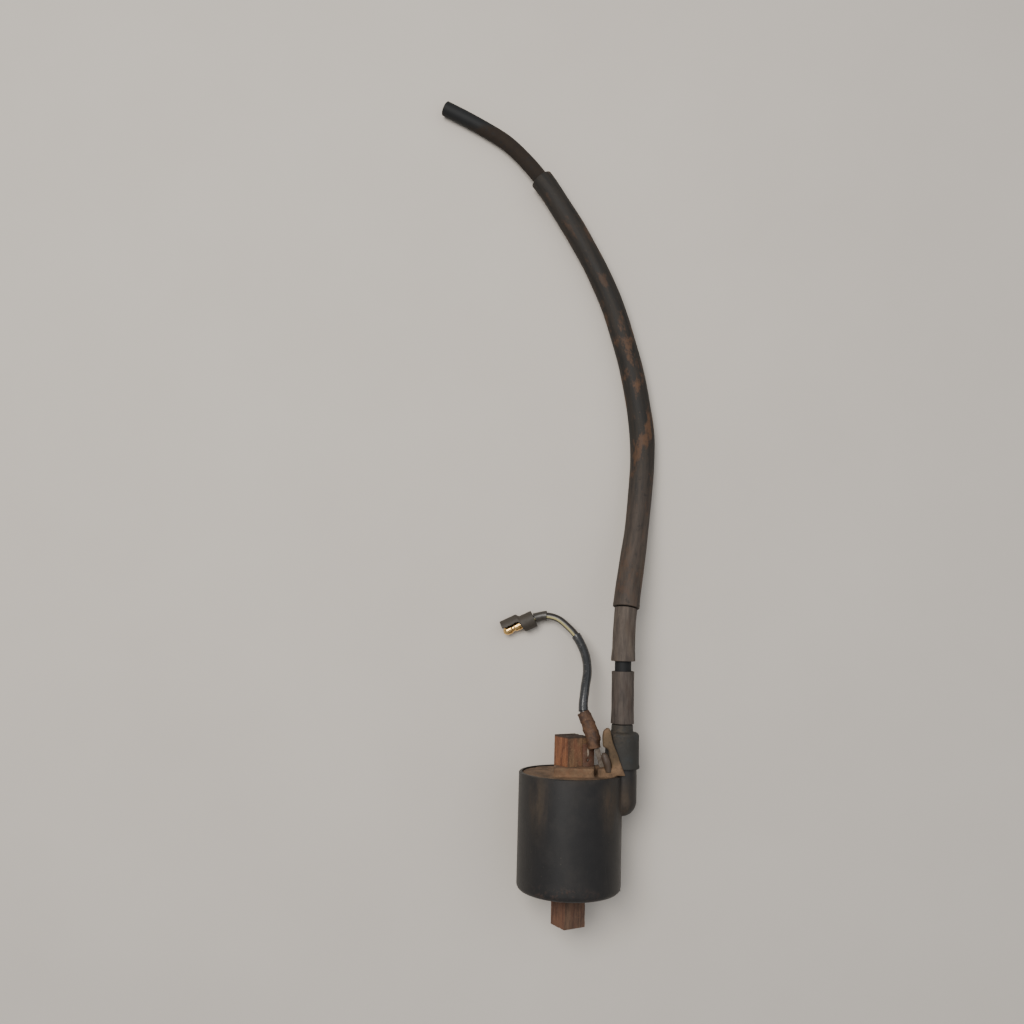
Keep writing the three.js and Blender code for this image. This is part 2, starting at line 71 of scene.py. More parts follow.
# ---- camera ----
CAMERA_LENS = 34.45
CAMERA_PLACE = (-26.3, 86.0, 443.3)
CAMERA_TILT = 6.1
CAMERA_TURN = 1.5


def make_camera():
    data = bpy.data.cameras.new("camera")
    data.lens = CAMERA_LENS
    data.sensor_width = 36.0
    camera = bpy.data.objects.new("camera", data)
    bpy.context.scene.collection.objects.link(camera)
    camera.location = at(*CAMERA_PLACE)
    camera.rotation_euler = (radians(CAMERA_TILT), 0.0, radians(CAMERA_TURN))
    bpy.context.scene.camera = camera


make_camera()


# ---- lines that pieces follow ----
def spline(points, per_span=12):
    """Points of a centripetal Catmull-Rom curve through the given points."""
    found = []
    for i in range(len(points) - 1):
        p1, p2 = points[i], points[i + 1]
        p0 = points[i - 1] if i else 2 * p1 - p2
        p3 = points[i + 2] if i + 2 < len(points) else 2 * p2 - p1
        d0, d1, d2 = ((b - a).length ** 0.5 for a, b in ((p0, p1), (p1, p2), (p2, p3)))
        t1 = ((p1 - p0) / d0 - (p2 - p0) / (d0 + d1) + (p2 - p1) / d1) * d1
        t2 = ((p2 - p1) / d1 - (p3 - p1) / (d1 + d2) + (p3 - p2) / d2) * d1
        for k in range(per_span):
            t = k / per_span
            found.append(
                p1 + t1 * t + (3 * (p2 - p1) - 2 * t1 - t2) * t * t
                + (2 * (p1 - p2) + t1 + t2) * t ** 3
            )
    found.append(points[-1])
    return found


class Line:
    """A centreline with a frame that doesn't twist, measured along its length in metres."""

    def __init__(self, points):
        self.points = points
        self.s = [0.0]
        for a, b in zip(points, points[1:]):
            self.s.append(self.s[-1] + (b - a).length)
        self.length = self.s[-1]
        self.tangents = []
        for i in range(len(points)):
            a, b = points[max(i - 1, 0)], points[min(i + 1, len(points) - 1)]
            self.tangents.append((b - a).normalized())
        first = self.tangents[0]
        normal = Vector((0, 0, 1)) - first * first.z
        self.normals = [normal.normalized()]
        for tangent in self.tangents[1:]:
            normal = self.normals[-1] - tangent * tangent.dot(self.normals[-1])
            self.normals.append(normal.normalized())

    def frame(self, s):
        """Origin, tangent and two normals at a length along the line; it runs on straight past its ends."""
        i = min(max(bisect_left(self.s, s) - 1, 0), len(self.s) - 2)
        t = (s - self.s[i]) / max(self.s[i + 1] - self.s[i], 1e-9)
        origin = self.points[i].lerp(self.points[i + 1], t)
        k = min(max(t, 0.0), 1.0)
        tangent = self.tangents[i].lerp(self.tangents[i + 1], k).normalized()
        normal = self.normals[i].lerp(self.normals[i + 1], k)
        normal = (normal - tangent * tangent.dot(normal)).normalized()
        return origin, tangent, normal, tangent.cross(normal)

    def at_y(self, y):
        """The length at which the line first passes a height along Y, in metres."""
        for i in range(len(self.points) - 1):
            a, b = self.points[i].y, self.points[i + 1].y
            if a <= y <= b and b > a:
                return self.s[i] + (y - a) / (b - a) * (self.s[i + 1] - self.s[i])
        return self.length


def straight(start, end):
    return Line([start, start.lerp(end, 0.5), end])


# ---- meshes ----
def finish_mesh(name, mesh, sharp=35):
    mesh.validate()
    for polygon in mesh.polygons:
        polygon.use_smooth = True
    mesh.set_sharp_from_angle(angle=radians(sharp))
    obj = bpy.data.objects.new(name, mesh)
    bpy.context.scene.collection.objects.link(obj)
    return obj


def built(name, made, sharp=35):
    """A finished piece from a bmesh, its faces turned outward."""
    bmesh.ops.recalc_face_normals(made, faces=made.faces)
    mesh = bpy.data.meshes.new(name)
    made.to_mesh(mesh)
    made.free()
    return finish_mesh(name, mesh, sharp)


def loft(made, rings):
    """Joins each ring of vertices to the next and closes both ends."""
    for a, b in zip(rings, rings[1:]):
        for k in range(len(a)):
            n = (k + 1) % len(a)
            made.faces.new((a[k], a[n], b[n], b[k]))
    made.faces.new(rings[0])
    made.faces.new(rings[-1])


def skin(name, line, profile, sides, closed=False, ripple=None, sharp=35):
    """A skin round a line. profile holds (length along the line, radius) in metres; a radius of 0 is a pole.

    closed joins the last station to the first, for a piece with a bore. ripple(s, angle, radius) gives the
    radius to use. The mesh keeps each vertex's unrolled place, for grain that follows the piece.
    """
    verts, unrolled, rings = [], [], []
    for s, radius in profile:
        origin, _, normal, side = line.frame(s)
        ring = []
        count = 1 if radius == 0 else sides
        for k in range(count):
            angle = tau * k / sides
            r = ripple(s, angle, radius) if ripple and radius else radius
            verts.append(origin + (normal * cos(angle) + side * sin(angle)) * r)
            unrolled.append((s, r * cos(angle), r * sin(angle)))
            ring.append(len(verts) - 1)
        rings.append(ring)
    faces = []
    pairs = list(zip(rings, rings[1:]))
    if closed:
        pairs.append((rings[-1], rings[0]))
    for a, b in pairs:
        for k in range(sides):
            n = (k + 1) % sides
            if len(a) == 1 and len(b) == 1:
                continue
            if len(a) == 1:
                faces.append((a[0], b[n], b[k]))
            elif len(b) == 1:
                faces.append((a[k], a[n], b[0]))
            else:
                faces.append((a[k], a[n], b[n], b[k]))
    mesh = bpy.data.meshes.new(name)
    mesh.from_pydata([tuple(v) for v in verts], [], faces)
    attribute = mesh.attributes.new("unrolled", "FLOAT_VECTOR", "POINT")
    attribute.data.foreach_set("vector", [c for u in unrolled for c in u])
    made = bmesh.new()
    made.from_mesh(mesh)
    bmesh.ops.recalc_face_normals(made, faces=made.faces)
    made.to_mesh(mesh)
    made.free()
    return finish_mesh(name, mesh, sharp)


def stations(start, end, step):
    count = max(1, round(abs(end - start) / step))
    return [start + (end - start) * i / count for i in range(count + 1)]


def sleeve_profile(start, end, outer, bore, step, rim=0.35 * MM):
    """A tube with a bore and rounded rims: outer(s) and bore(s) give its radii."""
    turns = [radians(a) for a in (30, 60, 90)]
    round_off = [(rim - rim * sin(a), rim - rim * cos(a)) for a in turns]
    profile = [(s, outer(s)) for s in stations(start + rim, end - rim, step)]
    profile += [(end - d, outer(end) - r) for d, r in round_off]
    profile.append((end, bore(end) + 0.4 * rim))
    profile += [(s, bore(s)) for s in stations(end - 0.4 * rim, start + 0.4 * rim, step)]
    profile.append((start, bore(start) + 0.4 * rim))
    return profile + [(start + d, outer(start) - r) for d, r in reversed(round_off)]


def turned(name, start, end, profile, sides, closed=False, ripple=None, sharp=35):
    """A turned piece about the line from start to end; profile is (radius, distance) in millimetres."""
    line = straight(start, end)
    pairs = [(d * MM, r * MM) for r, d in profile]
    return skin(name, line, pairs, sides, closed, ripple, sharp)


def arc(centre_r, centre_d, radius, start, end, steps):
    """Profile points of an arc, angles in degrees from the outward direction."""
    found = []
    for i in range(steps + 1):
        a = radians(start + (end - start) * i / steps)
        found.append((centre_r + radius * cos(a), centre_d + radius * sin(a)))
    return found


def combine(base, tool, operation):
    """base joined with or cut by tool, applied; tool is removed."""
    modifier = base.modifiers.new("combine", "BOOLEAN")
    modifier.operation = operation
    modifier.solver = "EXACT"
    modifier.object = tool
    apply_modifiers(base)
    bpy.data.objects.remove(tool)
    return base


def apply_modifiers(obj):
    bpy.context.view_layer.update()
    evaluated = obj.evaluated_get(bpy.context.evaluated_depsgraph_get())
    mesh = bpy.data.meshes.new_from_object(evaluated)
    obj.modifiers.clear()
    obj.data = mesh
    return obj


def soften(obj, sharp):
    obj.data.validate()
    for polygon in obj.data.polygons:
        polygon.use_smooth = True
    obj.data.set_sharp_from_angle(angle=radians(sharp))


def dress(obj, look):
    obj.data.materials.clear()
    obj.data.materials.append(look.material)


def settle(obj, body, slot, look, *nodes):
    """Gives a finished piece its body and look, and hides the CAD nodes that it stands for; slot is not
    used.
    """
    dress(obj, look)
    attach(obj, body)
    if nodes:
        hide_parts(*nodes)
    return obj


# ---- materials ----
def srgb(r, g, b):
    """A colour given as display values, each from 11 to 255, in linear light."""
    return tuple(((c / 255 + 0.055) / 1.055) ** 2.4 for c in (r, g, b)) + (1,)


class Look:
    """A node material: small helpers that each add a node and return its output."""

    def __init__(self, name, roughness=0.5, metallic=0.0, **settings):
        self.material = bpy.data.materials.new(name)
        self.material.use_nodes = True
        self.tree = self.material.node_tree
        self.bsdf = self.tree.nodes["Principled BSDF"]
        self.bsdf.inputs["Roughness"].default_value = roughness
        self.bsdf.inputs["Metallic"].default_value = metallic
        for key, value in settings.items():
            self.bsdf.inputs[key.replace("_", " ")].default_value = value
        self.place = self.tree.nodes.new("ShaderNodeTexCoord").outputs["Object"]

    def node(self, kind, inputs, **values):
        """A new node with its settings, and with its inputs set or linked."""
        node = self.tree.nodes.new(kind)
        for key, value in values.items():
            setattr(node, key, value)
        for key, value in inputs.items():
            self.feed(node.inputs[key], value)
        return node

    def feed(self, socket, value):
        """Links an output or sets a value; a colour may be given as three display values."""
        if hasattr(value, "is_output"):
            self.tree.links.new(value, socket)
        elif socket.type == "RGBA" and len(value) == 3:
            socket.default_value = srgb(*value)
        else:
            socket.default_value = value

    def unrolled(self):
        return self.node("ShaderNodeAttribute", {}, attribute_name="unrolled").outputs["Vector"]

    def stretched(self, place, scale):
        return self.node("ShaderNodeMapping", {"Vector": place, "Scale": scale}).outputs["Vector"]

    def noise(self, size, detail=4.0, rough=0.6, place=None, seed=0.0):
        """Noise with features of about the given size in millimetres."""
        inputs = {"Vector": self.place if place is None else place, "W": seed}
        inputs.update({"Scale": 1000.0 / size, "Detail": detail, "Roughness": rough})
        return self.node("ShaderNodeTexNoise", inputs, noise_dimensions="4D").outputs["Fac"]

    def spots(self, low, high, *args, **named):
        """Patches of noise: 0 where it is below low, 1 where it is above high."""
        return self.grade(self.noise(*args, **named), low, high)

    def speckle(self, size):
        inputs = {"Vector": self.place, "Scale": 1000.0 / size}
        return self.node("ShaderNodeTexVoronoi", inputs).outputs["Distance"]

    def grade(self, value, low, high, to_low=0.0, to_high=1.0):
        """value between low and high, smoothed and mapped to a new range."""
        inputs = {"Value": value, "From Min": low, "From Max": high, "To Min": to_low, "To Max": to_high}
        node = self.node("ShaderNodeMapRange", inputs, interpolation_type="SMOOTHSTEP")
        return node.outputs["Result"]

    def math(self, operation, a, b):
        return self.node("ShaderNodeMath", {0: a, 1: b}, operation=operation).outputs["Value"]

    def times(self, a, b):
        return self.math("MULTIPLY", a, b)

    def plus(self, a, b):
        return self.math("ADD", a, b)

    def most(self, a, b):
        return self.math("MAXIMUM", a, b)

    def vector(self, operation, a, b=(0, 0, 0)):
        return self.node("ShaderNodeVectorMath", {0: a, 1: b}, operation=operation)

    def along(self, axis, place=None):
        inputs = {"Vector": self.place if place is None else place}
        return self.node("ShaderNodeSeparateXYZ", inputs).outputs[axis]

    def patch(self, centre, reach):
        """1 at a point, fading to 0 at the given reach along each axis, in millimetres."""
        shifted = self.vector("SUBTRACT", self.place, centre).outputs["Vector"]
        scaled = self.vector("MULTIPLY", shifted, [1000.0 / r for r in reach]).outputs["Vector"]
        return self.grade(self.vector("LENGTH", scaled).outputs["Value"], 0.0, 1.0, 1.0, 0.0)

    def facing(self, direction, low, high):
        """1 where the surface faces a direction of the object, 0 where it faces away."""
        normal = self.node("ShaderNodeNewGeometry", {}).outputs["Normal"]
        return self.grade(self.vector("DOT_PRODUCT", normal, direction).outputs["Value"], low, high)

    def blend(self, factor, a, b, data_type="RGBA"):
        inputs = {"Factor": factor, "A": a, "B": b}
        return self.node("ShaderNodeMix", inputs, data_type=data_type).outputs["Result"]

    def stain(self, base, mask, amount, colour):
        """base with a colour laid over it where the mask is 1, by the given amount."""
        return self.blend(self.times(mask, amount), base, colour)

    def colour(self, value):
        self.feed(self.bsdf.inputs["Base Color"], value)

    def rough(self, factor, low, high):
        self.feed(self.bsdf.inputs["Roughness"], self.blend(factor, low, high, "FLOAT"))

    def metal(self, factor, low, high):
        self.feed(self.bsdf.inputs["Metallic"], self.blend(factor, low, high, "FLOAT"))

    def bump(self, height, depth):
        """Relief of the given depth in millimetres; calls add up."""
        node = self.node("ShaderNodeBump", {"Strength": 1.0, "Distance": depth * MM, "Height": height})
        before = self.bsdf.inputs["Normal"].links
        if before:
            self.feed(node.inputs["Normal"], before[0].from_socket)
        self.feed(self.bsdf.inputs["Normal"], node.outputs["Normal"])


def case_look():
    look = Look("case_plastic", Specular_IOR_Level=0.38)
    fine, broad = look.noise(0.5, 5), look.noise(9, 5, 0.65, seed=2)
    charcoal = look.blend(look.noise(4, 4, seed=1), (22, 21, 21), (34, 32, 31))
    streaks = look.noise(5, 5, 0.7, look.stretched(look.place, (1, 0.22, 1)), 4)
    left = look.patch(at(-13.5, 12, 38), (7, 20, 12))
    crease = look.patch(at(15.5, 13, 37.5), (7.5, 17, 9))
    tower = look.patch(at(22, 11, 27), (8, 15, 9))
    upper = look.patch(at(0, 23, 30), (30, 6, 30))
    lower = look.patch(at(-4, -23, 40), (22, 5, 12))
    dirty = look.most(look.times(left, 0.8), look.most(look.most(crease, tower), look.times(upper, 0.5)))
    dust = look.times(dirty, look.grade(streaks, 0.34, 0.6))
    film = look.grade(broad, 0.45, 0.75, 0.0, 0.3)
    dusty = look.blend(look.noise(1.2, 4, seed=7), (64, 52, 41), (92, 78, 62))
    colour = look.blend(film, charcoal, (54, 49, 45))
    colour = look.stain(colour, dust, 0.62, dusty)
    rust = look.times(lower, look.spots(0.5, 0.66, 2.2, 5, 0.7, seed=9))
    colour = look.stain(colour, rust, 0.7, (74, 54, 44))
    specks = look.grade(look.speckle(2.6), 0.0, 0.09, 1.0, 0.0)
    specks = look.times(specks, look.spots(0.5, 0.6, 7, 3, seed=11))
    look.colour(look.stain(colour, specks, 0.6, (100, 92, 80)))
    base = look.blend(look.noise(6, 4, seed=3), 0.42, 0.56, "FLOAT")
    look.rough(look.most(dust, look.most(rust, film)), base, 0.86)
    look.bump(fine, 0.035)
    scratch = look.noise(0.7, 3, 0.6, look.stretched(look.place, (3.5, 0.09, 3.5)), 5)
    look.bump(look.grade(scratch, 0.62, 0.72), 0.03)
    look.bump(look.most(dust, rust), 0.05)
    return look


def resin_look():
    look = Look("cast_resin", 0.85)
    broad = look.noise(6, 5, 0.6, seed=1)
    base = look.blend(look.grade(broad, 0.35, 0.65), (80, 61, 43), (118, 92, 67))
    wall = look.patch(at(16, 33, 30), (9, 13, 9))
    olive = look.blend(look.grade(broad, 0.35, 0.65), (62, 49, 33), (92, 74, 52))
    base = look.blend(look.grade(wall, 0.15, 0.6), base, olive)
    grain = look.noise(0.6, 5, 0.7, seed=3)
    base = look.stain(base, look.grade(grain, 0.5, 0.7), 0.45, (60, 45, 33))
    foot = look.patch(at(0, 23, 26), (13, 7, 14))
    rust = look.times(foot, look.spots(0.4, 0.58, 3, 5, 0.7, seed=5))
    base = look.stain(base, rust, 0.7, (108, 68, 44))
    spots = look.spots(0.6, 0.68, 1.3, 4, 0.75, seed=8)
    look.colour(look.stain(base, spots, 0.7, (50, 34, 24)))
    look.rough(grain, 0.72, 0.95)
    look.bump(grain, 0.12)
    look.bump(look.noise(0.2, 4, 0.7, seed=4), 0.05)
    look.bump(broad, 0.2)
    return look


def core_look():
    look = Look("rusted_core", 0.82)
    runs = look.stretched(look.place, (1, 0.16, 1))
    streaks = look.spots(0.36, 0.62, 2.0, 5, 0.65, runs, 1)
    fine = look.noise(0.8, 6, 0.7, seed=2)
    # painted light and shade: the face turned up and to the left is painted a lighter orange as if lit,
    # every other face a darker brown as if shaded; the streaks and stains on both are real rust
    lit_face_orange = look.blend(streaks, (98, 57, 36), (134, 86, 56))
    brown = look.blend(streaks, (76, 53, 37), (114, 87, 61))
    base = look.blend(look.facing((-0.857, 0, 0.515), 0.55, 0.85), brown, lit_face_orange)
    stains = look.spots(0.5, 0.62, 3.4, 6, 0.7, look.stretched(look.place, (1, 0.35, 1)), 3)
    base = look.stain(base, stains, 0.6, (112, 70, 49))
    base = look.stain(base, look.grade(fine, 0.52, 0.66), 0.45, (156, 118, 88))
    dark = look.spots(0.56, 0.66, 1.5, 6, 0.75, runs, 5)
    base = look.stain(base, dark, 0.75, (52, 33, 25))
    lower = look.grade(look.along("Y"), at(0, -30, 0).y, at(0, -20, 0).y, 1.0, 0.0)
    base = look.stain(base, lower, 0.6, look.blend(streaks, (66, 49, 41), (90, 68, 57)))
    ends = look.most(look.facing((0, 1, 0), 0.5, 0.8), look.facing((0, -1, 0), 0.5, 0.8))
    rim = look.grade(look.along("Y"), at(0, 35.9, 0).y, at(0, 36.5, 0).y)
    look.colour(look.stain(base, look.most(ends, rim), 0.85, (46, 38, 34)))
    look.rough(fine, 0.68, 0.95)
    look.metal(look.spots(0.62, 0.75, 2.5, 4, seed=7), 0.0, 0.25)
    look.bump(fine, 0.14)
    look.bump(look.noise(0.25, 4, 0.7, seed=6), 0.06)
    look.bump(streaks, 0.1)
    return look


def boot_look():
    look = Look("cap_rubber", 0.7, Specular_IOR_Level=0.35)
    base = look.blend(look.noise(3, 4, seed=1), (36, 35, 33), (52, 50, 46))
    cold = look.spots(0.5, 0.7, 4, 4, seed=2)
    base = look.stain(base, cold, 0.35, (48, 55, 57))
    shoulder = look.patch(at(18, 38.5, 27), (9, 8, 8))
    neck = look.patch(at(TOWER_X, 41.5, TOWER_Z), (8, 5, 8))
    dust = look.most(shoulder, neck)
    dust = look.times(dust, look.spots(0.36, 0.6, 1.6, 5, 0.7, seed=3))
    look.colour(look.stain(base, dust, 0.6, (80, 69, 56)))
    look.rough(look.noise(1, 4, seed=6), 0.6, 0.85)
    look.bump(look.noise(0.35, 4, seed=4), 0.05)
    look.bump(look.noise(2.5, 4, seed=5), 0.12)
    return look


def sleeve_look(name, dark, light, blotch, amount, seed):
    """Aged rubber sleeving with grain and dirt that follow its length."""
    look = Look(name, 0.8, Specular_IOR_Level=0.35)
    place = look.unrolled()
    long_way = look.stretched(place, (0.14, 1, 1))
    streaks = look.noise(1.6, 5, 0.65, long_way, seed)
    base = look.blend(look.grade(streaks, 0.32, 0.68), dark, light)
    mottled = look.noise(5.5, 5, 0.68, look.stretched(place, (0.4, 1, 1)), seed + 2)
    stain = look.grade(mottled, 0.5, 0.64)
    base = look.stain(base, stain, amount, blotch)
    grit = look.spots(0.58, 0.68, 0.7, 5, 0.75, place, seed + 3)
    base = look.stain(base, grit, 0.4, tuple(0.35 * c for c in srgb(*dark)[:3]) + (1,))
    pale = look.spots(0.64, 0.72, 1.5, 4, 0.7, place, seed + 5)
    look.colour(look.stain(base, pale, 0.35, (112, 99, 84)))
    look.rough(streaks, 0.62, 0.9)
    look.bump(streaks, 0.09)
    look.bump(look.noise(0.4, 4, 0.7, place, seed + 7), 0.05)
    look.bump(mottled, 0.14)
    return look


def lead_look():
    look = Look("lead_jacket", 0.45, Specular_IOR_Level=0.35)
    y = look.along("Y")
    black = look.blend(look.noise(3, 4, seed=1), (13, 13, 14), (24, 25, 26))
    brown = look.blend(look.noise(2.4, 5, 0.7, seed=2), (27, 22, 18), (47, 37, 28))
    end = look.plus(y, look.times(look.noise(5, 4, seed=3), 0.004))
    bare = look.times(
        look.grade(end, at(0, 286, 0).y, at(0, 289, 0).y),
        look.grade(end, at(0, 314, 0).y, at(0, 317.5, 0).y, 1.0, 0.0),
    )
    dirt = look.times(bare, look.spots(0.28, 0.5, 3.2, 6, 0.7, seed=4))
    look.colour(look.blend(dirt, black, brown))
    look.rough(dirt, 0.68, 0.88)
    look.bump(look.noise(0.5, 4, seed=5), 0.04)
    look.bump(dirt, 0.08)
    return look


def wire_look():
    look = Look("wire_jacket", 0.4)
    place = look.unrolled()
    black = look.blend(look.noise(3, 4, place=place, seed=1), (28, 26, 25), (46, 42, 40))
    across = look.along("Z", place)
    stripe = look.times(
        look.grade(across, -1.32 * MM, -1.2 * MM), look.grade(across, -0.6 * MM, -0.48 * MM, 1.0, 0.0))
    stripe = look.times(stripe, look.grade(look.along("Y", place), 0.0, 0.1 * MM))
    stripe = look.times(stripe, look.grade(look.along("X", place), 24 * MM, 26 * MM))
    cream = look.blend(look.noise(1.5, 4, 0.7, place, 3), (150, 140, 88), (186, 176, 128))
    colour = look.blend(stripe, black, cream)
    dirt = look.spots(0.56, 0.7, 1.8, 5, 0.75, place, 4)
    look.colour(look.stain(colour, dirt, 0.45, (58, 48, 38)))
    look.rough(dirt, 0.34, 0.8)
    look.bump(look.noise(0.5, 4, place=place, seed=5), 0.03)
    return look


def wire_sleeve_look(name, dark, light, roughness):
    look = Look(name, roughness, Specular_IOR_Level=0.6)
    place = look.unrolled()
    base = look.blend(look.noise(2.4, 5, 0.65, look.stretched(place, (0.3, 1, 1)), 1), dark, light)
    dust = look.spots(0.54, 0.7, 2.6, 5, 0.75, place, 3)
    look.colour(look.stain(base, dust, 0.35, (84, 72, 60)))
    look.rough(dust, roughness, 0.85)
    look.bump(look.noise(0.5, 4, place=place, seed=5), 0.03)
    look.bump(dust, 0.03)
    return look


def brass_look():
    look = Look("worn_brass", 0.28, 1.0)
    fine = look.noise(0.9, 5, 0.7, seed=1)
    base = look.blend(look.grade(fine, 0.35, 0.65), (214, 166, 96), (244, 210, 146))
    tarnish = look.spots(0.54, 0.7, 1.8, 5, 0.7, seed=2)
    look.colour(look.stain(base, tarnish, 0.7, (120, 82, 44)))
    look.rough(tarnish, 0.24, 0.6)
    look.bump(look.noise(0.25, 3, seed=3), 0.012)
    return look


def steel_look(name, bright, dull, rust, amount, painted_glint=None):
    look = Look(name, 0.4, 0.85)
    base = look.blend(look.noise(1.6, 5, 0.6, seed=1), dull, bright)
    stain = look.times(look.spots(0.42, 0.6, 2.2, 6, 0.72, seed=3), amount)
    colour = look.blend(stain, base, rust)
    # painted highlight: an optional pale streak laid over the steel where light glints on it
    if painted_glint:
        glint_streak = look.times(look.patch(painted_glint, (0.75, 3.4, 1.6)), look.noise(0.9, 4, seed=6))
        colour = look.blend(look.grade(glint_streak, 0.16, 0.34), colour, (186, 170, 152))
    look.colour(colour)
    look.metal(stain, 0.5, 0.1)
    look.rough(stain, 0.45, 0.85)
    look.bump(look.noise(0.4, 5, 0.7, seed=4), 0.03)
    look.bump(stain, 0.05)
    return look


def wrap_look():
    look = Look("rusty_wrap", 0.7)
    place = look.unrolled()
    base = look.blend(look.spots(0.35, 0.65, 2.2, 6, 0.7, seed=1), (54, 35, 23), (90, 62, 40))
    deep = look.spots(0.54, 0.66, 1.1, 6, 0.75, seed=2)
    base = look.stain(base, deep, 0.7, (42, 28, 21))
    look.colour(look.stain(base, look.spots(0.62, 0.7, 0.7, 4, seed=9), 0.5, (112, 88, 64)))
    look.rough(look.noise(1.5, 4, seed=3), 0.55, 0.9)
    look.bump(look.noise(0.6, 5, 0.7, look.stretched(place, (0.4, 1, 1)), 4), 0.14)
    look.bump(look.noise(0.2, 3, seed=5), 0.05)
    return look


def winding_look(name, turns):
    """Enamelled wire laid in close turns about the coil's axis."""
    look = Look(name, 0.35, 0.7)
    inputs = {"Vector": look.place, "Scale": 1000.0 / (turns * 20)}
    rows = look.node("ShaderNodeTexWave", inputs, wave_type="BANDS", bands_direction="Y", wave_profile="SIN")
    base = look.blend(look.noise(3, 4, seed=1), (150, 78, 44), (196, 112, 66))
    # painted shade: the grooves between turns are painted darker
    look.colour(look.blend(look.grade(rows.outputs["Fac"], 0.0, 0.4, 0.6, 0.0), base, (70, 32, 18)))
    look.bump(rows.outputs["Fac"], 0.1)
    look.bump(look.noise(0.5, 3, seed=2), 0.02)
    return look


def plain_look(name, dark, light, roughness, depth):
    """Moulded or paper stock: two close tones, with fine relief."""
    look = Look(name, roughness)
    look.colour(look.blend(look.noise(2.5, 5, 0.65, seed=1), dark, light))
    look.rough(look.noise(1.2, 4, seed=2), roughness - 0.1, roughness + 0.12)
    look.bump(look.noise(0.3, 4, 0.7, seed=3), depth)
    return look


# ---- the cords' routes, as in the CAD, in millimetres ----
LEAD_ROUTE = [
    (21.4, 14, 22.7), (21.4, 30, 22.7), (21.4, 46, 22.7), (21.4, 60.4, 22.7), (21.4, 72.4, 22.6),
    (21.8, 81.4, 21.5), (23.3, 96.8, 18.8), (25.5, 110.8, 15), (27.7, 125.2, 11.3), (29.5, 141.3, 8.1),
    (30.6, 157.7, 6.2), (30.2, 171.1, 5.6), (28, 185.5, 5.5), (24.6, 201.6, 5.5), (20.1, 217.2, 5.5),
    (15, 231.8, 5.5), (8.5, 246.3, 5.5), (0.7, 260.6, 5.5), (-7.9, 274.5, 5.5), (-17, 287.9, 5.5),
    (-26.2, 299.4, 3.9), (-34.7, 307.4, 3.6), (-44, 313.3, 3.6), (-54.1, 318.8, 3.6), (-64.2, 323.8, 3.6),
]
WIRE_ROUTE = [
    (7.4, 40.7, 24.8), (5.4, 44.5, 23.7), (4.8, 49, 22.4), (5.7, 56.7, 19.8), (6.8, 64.8, 15.6),
    (5.7, 71.3, 12.2), (2.4, 78.1, 8.6), (-1.2, 82.1, 6.6), (-5.9, 85.7, 4.9), (-10.8, 86.8, 4.2),
    (-14.9, 86.1, 4), (-18.4, 84.5, 4), (-21.9, 82.8, 3.85),
]
BULLET_TIP = (-29.8, 78.9, 3.45)
WRAP_ROUTE = [(9.6, 32.6, 26.7), (8.5, 37.4, 26), (7.1, 41.6, 24.7), (5.1, 46.4, 23.2)]
STRIP_ROUTE = [(12.9, 20, 26.9), (12.6, 25, 26.9), (11.3, 29.5, 26.9), (10.3, 33.2, 26.8), (9.6, 36.6, 26.3)]
TAIL_ROUTE = [(15.3, 19.6, 29.9), (14.7, 25.8, 31), (12.8, 31.3, 31.2)]


def line_through(route):
    return Line(spline([at(*p) for p in route]))


# ---- high-tension lead, its sleeves and its cut end ----
LEAD_R = 3.5 * MM
BORE_R = 3.85 * MM


def wobble(amount, size, seed):
    """A slow, seeded change of radius along and round a tube."""
    def ripple(s, angle, radius):
        place = Vector((s / size, cos(angle) * 0.8 + seed, sin(angle) * 0.8))
        return radius + amount * noise.noise(place)
    return ripple


def along(pairs):
    """A radius that runs smoothly through (length share, radius in millimetres) pairs."""
    def radius(share):
        for (a, ra), (b, rb) in zip(pairs, pairs[1:]):
            if share <= b:
                t = min(max((share - a) / (b - a), 0.0), 1.0)
                return (ra + (rb - ra) * t * t * (3 - 2 * t)) * MM
        return pairs[-1][1] * MM
    return radius


